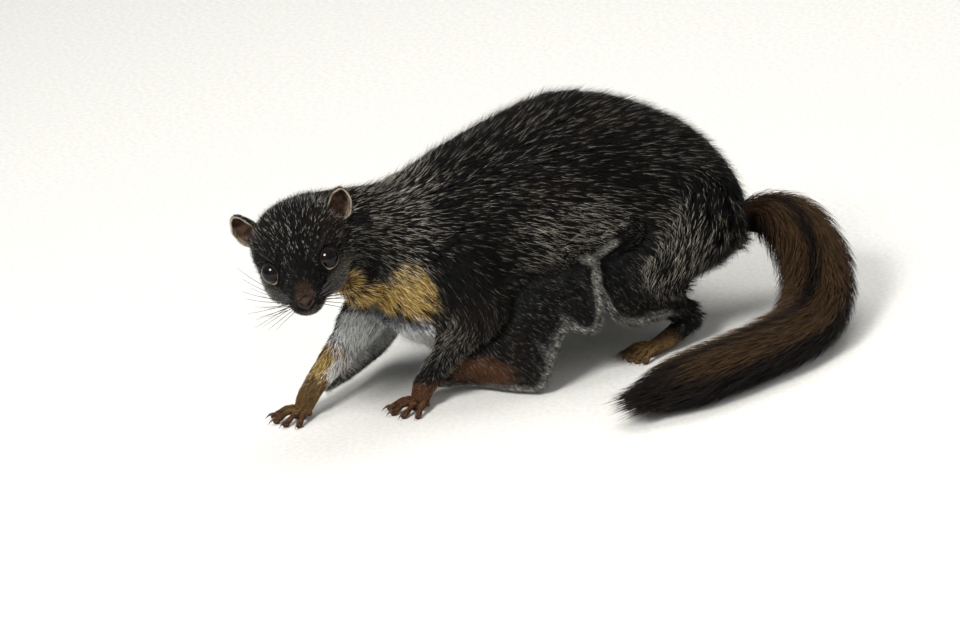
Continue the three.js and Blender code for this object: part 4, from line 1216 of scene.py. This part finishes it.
def coatGroup():
    tree = bpy.data.node_groups.new("coatColour", "ShaderNodeTree")
    tree.interface.new_socket("Color", in_out="OUTPUT", socket_type="NodeSocketColor")
    tree.interface.new_socket("Roughness", in_out="OUTPUT", socket_type="NodeSocketFloat")
    out = tree.nodes.new("NodeGroupOutput")
    c = {key: tint(code) for key, code in coatColours.items()}
    along, shade, guard = attribute(tree, "along"), attribute(tree, "shade"), attribute(tree, "guard")
    blur = mapped(tree, noise(tree, 130, 3), 0.3, 0.7, -0.25, 0.25)
    scatter = mapped(tree, shade, 0, 1, -0.42, 0.42)
    edge = place(tree, "ShaderNodeMath", {0: blur, 1: scatter}, operation="ADD").outputs[0]

    def zone(name, low=0.35, high=0.6):
        share = attribute(tree, name)
        raggedAmount = numbers(tree, "MULTIPLY", share, 3.0)
        ragged = place(tree, "ShaderNodeMath", {0: edge, 1: raggedAmount, 2: share},
                       operation="MULTIPLY_ADD").outputs[0]
        return mapped(tree, ragged, low, high)
    dark = mixColour(tree, along, c["root"], c["tip"])
    dark = mixColour(tree, mapped(tree, noise(tree, 38), 0.5, 0.72, 0, 0.6), dark, c["brown"])
    grey = mixColour(tree, along, c["tip"], c["grey"])
    colour = mixColour(tree, numbers(tree, "MULTIPLY", zone("grey"), 0.75), dark, grey)
    colour = mixColour(tree, numbers(tree, "MULTIPLY", zone("umber"), 0.8), colour, c["umber"])
    rust = mixColour(tree, along, c["brown"], c["rust"])
    straw = mixColour(tree, mapped(tree, along, 0, 0.8), c["ochreRoot"], c["straw"])
    ochre = mixColour(tree, mapped(tree, shade, 0.5, 0.9, 0, 0.8), c["ochre"], c["ochreTip"])
    ochre = mixColour(tree, mapped(tree, along, 0, 0.6), c["ochreRoot"], ochre)
    ochre = mixColour(tree, mapped(tree, shade, 0.1, 0.45, 0.9, 0), ochre, c["ochreRoot"])
    pale = mixColour(tree, mapped(tree, along, 0, 0.5, 0.35, 1), c["paleRoot"], c["pale"])
    for name, hair in (("rust", rust), ("straw", straw), ("ochre", ochre), ("pale", pale)):
        colour = mixColour(tree, zone(name), colour, hair)
    # painted shadow under the chin: blue-grey on part of the tufts at the top of the chest
    colour = mixColour(tree, numbers(tree, "MULTIPLY", zone("slate"), mapped(tree, shade, 0, 1, 0.6, 1)),
                       colour, c["slate"])
    # a pale band below the dark tip of some of the guard hairs, more of them where the coat is frosted
    amount = 0.2
    # the 'dark' zones thin out the pale bands: partly the coat's own dark patches, partly painted shade at
    # the shoulder
    for name, kind, most in (("frost", "ADD", 0.36), ("grey", "ADD", 0.35), ("dark", "SUBTRACT", 0.12)):
        amount = numbers(tree, kind, amount, numbers(tree, "MULTIPLY", attribute(tree, name), most))
    amount = numbers(tree, "MULTIPLY", amount, mapped(tree, noise(tree, 60, 2), 0.35, 0.65, 0.7, 1.15))
    chosen = mapped(tree, numbers(tree, "MULTIPLY", amount, guard), shade, numbers(tree, "ADD", shade, 0.02))
    band = numbers(tree, "MULTIPLY", mapped(tree, along, 0.42, 0.6), mapped(tree, along, 0.8, 1.0, 1, 0.2))
    band = numbers(tree, "MULTIPLY", band, mapped(tree, attribute(tree, "frost"), 0, 1, 0.6, 1))
    colour = mixColour(tree, numbers(tree, "MULTIPLY", chosen, band), colour, c["frost"])
    rim = mixColour(tree, mapped(tree, shade, 0.35, 0.95), c["rimDark"], c["rim"])
    colour = mixColour(tree, attribute(tree, "rim"), colour, rim)
    colour = mixColour(tree, attribute(tree, "lips"), colour, c["root"])
    tail = mixColour(tree, mapped(tree, attribute(tree, "tailBand"), 0.1, 0.8), c["tail"], c["tailBand"])
    tail = mixColour(tree, mapped(tree, shade, 0.2, 0.9, 0, 0.8), tail, c["tailTip"])
    tail = mixColour(tree, mapped(tree, along, 0.0, 0.35, 0.6, 0), tail, c["root"])
    colour = mixColour(tree, attribute(tree, "tail"), colour, tail)
    varied = mapped(tree, shade, 0, 1, 0.8, 1.2)
    colour = place(tree, "ShaderNodeHueSaturation", {"Value": varied, "Color": colour}).outputs[0]
    put(tree, out, {0: colour, 1: mapped(tree, shade, 0, 1, 0.42, 0.62)})
    return tree


def coatMaterial(group):
    material, tree, shader = newMaterial("coat")
    coat = place(tree, "ShaderNodeGroup", node_tree=group).outputs
    put(tree, shader, {"Base Color": coat[0], "Roughness": coat[1], "Specular IOR Level": 0.2})
    return material


def skinMaterial(group):
    material, tree, shader = newMaterial("hide")
    coat = place(tree, "ShaderNodeGroup", node_tree=group).outputs
    fur = noise(tree, 1100, 4, (1, 0.3, 1))
    colour = mixColour(tree, mapped(tree, fur, 0.42, 0.62, 0.7, 0.1), coat[0], tint("060505"))
    put(tree, shader, {"Base Color": colour, "Roughness": 0.9, "Specular IOR Level": 0.08,
                       "Normal": bumps(tree, fur, 0.5, 0.4 * mm)})
    return material


def eyeMaterial():
    material, tree, shader = newMaterial("eyeball")
    gaze = attribute(tree, "gaze")
    streaks = mapped(tree, noise(tree, 2400, 4), 0.35, 0.7, 0, 1)
    iris = mixColour(tree, streaks, tint("050303"), tint("0e0805"))
    colour = mixColour(tree, mapped(tree, gaze, 0.86, 0.9), iris, tint("010101"))
    colour = mixColour(tree, mapped(tree, gaze, 0.42, 0.5, 1, 0), colour, tint("0a0706"))
    gloss = mapped(tree, noise(tree, 700), 0.3, 0.7, 0.03, 0.06)
    put(tree, shader, {"Base Color": colour, "Roughness": gloss, "Specular IOR Level": 0.24})
    return material


def bareMaterial(name, dark, light, edge, roughness, scale, depth):
    material, tree, shader = newMaterial(name)
    coordinates = place(tree, "ShaderNodeTexCoord").outputs["Object"]
    cells = place(tree, "ShaderNodeTexVoronoi", {0: coordinates, "Scale": scale}).outputs["Distance"]
    patch = noise(tree, scale * 0.18, 3)
    colour = mixColour(tree, mapped(tree, patch, 0.35, 0.65), tint(dark), tint(light))
    colour = mixColour(tree, mapped(tree, cells, 0.0, 0.5, 0.0, 0.25), colour, tint("1c120e"))
    # near-black where 'inside' is low: on the nose pad that is painted shade in the nostril pits, on the ears
    # it is the back of the cup under its coat
    colour = mixColour(tree, attribute(tree, "inside"), tint("0b0706"), colour)
    colour = mixColour(tree, numbers(tree, "MULTIPLY", attribute(tree, "rim"), 0.75), colour, tint(edge))
    gloss = mapped(tree, patch, 0.3, 0.7, roughness - 0.08, roughness + 0.08)
    put(tree, shader, {"Base Color": colour, "Roughness": gloss, "Specular IOR Level": 0.14,
                       "Normal": bumps(tree, cells, 0.6, depth)})
    return material


def clawMaterial():
    material, tree, shader = newMaterial("horn")
    along = attribute(tree, "along")
    streaks = noise(tree, 1800, 3, (1, 1, 4))
    colour = mixColour(tree, mapped(tree, along, 0.1, 0.8), tint("1a1310"), tint("3c2c22"))
    colour = mixColour(tree, mapped(tree, streaks, 0.4, 0.7, 0, 0.5), colour, tint("6e5a48"))
    put(tree, shader, {"Base Color": colour, "Roughness": mapped(tree, streaks, 0.3, 0.7, 0.22, 0.4)})
    return material


def whiskerMaterial():
    material, tree, shader = newMaterial("whisker")
    colour = mixColour(tree, mapped(tree, noise(tree, 90), 0.4, 0.6), tint("060505"), tint("120e0c"))
    put(tree, shader, {"Base Color": colour, "Roughness": 0.45})
    return material


def wear(piece, material):
    piece.data.materials.clear()
    piece.data.materials.append(material)
    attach(piece, body)


layers = sizeLayers(skin)
tufts = growBody(skin, layers)
print("body coat:", sum(len(piece.data.polygons) for piece in tufts), "triangles in", len(tufts), "pieces")
tailTufts = growTail(skin, layers)
print("tail coat:", sum(len(piece.data.polygons) for piece in tailTufts), "triangles")

colours = coatGroup()
furMaterial = coatMaterial(colours)
wear(skin, skinMaterial(colours))
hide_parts(*bodyNodes, *pawNodes, "patagium_left", "patagium_right", "tail_base", "tail_middle",
            "tail_tip")
for piece in tufts:
    wear(piece, furMaterial)
for piece in tailTufts:
    wear(piece, furMaterial)

nose = makeNose()
bareNose = bareMaterial("noseSkin", "18100c", "2d2119", "2d2119", 0.6, 2600, 0.12 * mm)
wear(nose, bareNose)
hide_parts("nose")
lidSkin = bareMaterial("lidSkin", "0b0806", "140f0b", "8d8170", 0.45, 2600, 0.1 * mm)
eyeballs = eyeMaterial()
for side, name in enumerate(("Left", "Right")):
    ball, rim = makeEye(side, "eye" + name)
    wear(ball, eyeballs)
    wear(rim, lidSkin)
    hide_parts("eye_" + name.lower())
earSkin = bareMaterial("earSkin", "231913", "553d2d", "9c907b", 0.6, 1500, 0.05 * mm)
for side, name in enumerate(("Left", "Right")):
    ear = makeEar(side, "ear" + name)
    wear(ear, earSkin)
    wear(growEar(ear, side, "coatEar" + name), furMaterial)
    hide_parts("ear_" + name.lower())
horn = clawMaterial()
for piece in makeClaws():
    wear(piece, horn)
whiskers = makeWhiskers()
wear(whiskers, whiskerMaterial())
for name in ("nosePad", "eyeLeft", "eyeRight", "eyeLeftLids", "eyeRightLids", "earLeft", "earRight",
             "whiskers"):
    bpy.data.objects[name].data.shade_smooth()
print("head pieces, claws and whiskers done")


# The room: a pale floor, soft light, and a long lens at the picture's angle
room = {
    "floor": 4.0, "distance": 6.0, "sensor": 36,
    "pixel": 0.47 * mm, "anchorPixel": (648, 352), "anchor": at(-55, 34, 0), "frame": (960, 641),
    "azimuth": 68, "elevation": 20, "roll": -8,
    "lamps": {"key": ((0.5, -0.8, 0.95), 0.4, 24), "fill": ((1.2, 0.5, 0.6), 1.6, 10),
              "top": ((-0.4, 0.3, 1.1), 1.0, 14)},    # place, size and power
    "daylight": (0.92, 0.95, 1, 1), "daylightPower": 0.45,
}


def makeRoom():
    bpy.ops.mesh.primitive_plane_add(size=room["floor"], location=(0, 0, 0))
    floor = bpy.context.active_object
    floor.name = "floor"
    material, tree, shader = newMaterial("floorPaper")
    grain = mapped(tree, noise(tree, 400, 4), 0.3, 0.7)
    colour = mixColour(tree, grain, tint("bdbbb4"), tint("c6c4be"))
    put(tree, shader, {"Base Color": colour, "Roughness": 0.85})
    floor.data.materials.append(material)
    azimuth, elevation = math.radians(room["azimuth"]), math.radians(room["elevation"])
    back = np.array([math.sin(azimuth) * math.cos(elevation), -math.cos(azimuth) * math.cos(elevation),
                     math.sin(elevation)])
    right = unit(np.cross([0, 0, 1], back))
    right = np.array(Matrix.Rotation(math.radians(room["roll"]), 3, Vector(back)) @ Vector(right))
    up = np.cross(back, right)
    middle = room["anchor"] + right * (room["frame"][0] / 2 - room["anchorPixel"][0]) * room["pixel"] \
        - up * (room["frame"][1] / 2 - room["anchorPixel"][1]) * room["pixel"]
    lens = bpy.data.cameras.new("camera")
    lens.sensor_width = room["sensor"]
    lens.lens = room["sensor"] * room["distance"] / (room["frame"][0] * room["pixel"])
    camera = newPiece("camera", lens)
    camera.matrix_world = placeOf(middle + back * room["distance"], (1, 1, 1), right, up, back)
    bpy.context.scene.camera = camera
    for name, (spot, size, power) in room["lamps"].items():
        light = bpy.data.lights.new(name, "AREA")
        light.size, light.energy = size, power
        lamp = newPiece(name, light)
        lamp.location = spot
        lamp.visible_glossy = name == "key"
        lamp.rotation_euler = (Vector((0, 0, 0.05)) - lamp.location).to_track_quat("-Z", "Y").to_euler()
    world = bpy.data.worlds.new("studio")
    bpy.context.scene.world = world
    world.use_nodes = True
    background = world.node_tree.nodes["Background"]
    background.inputs[0].default_value = room["daylight"]
    background.inputs[1].default_value = room["daylightPower"]
    bpy.context.scene.view_settings.view_transform = "Standard"


makeRoom()
print("floor, lamps and camera done")
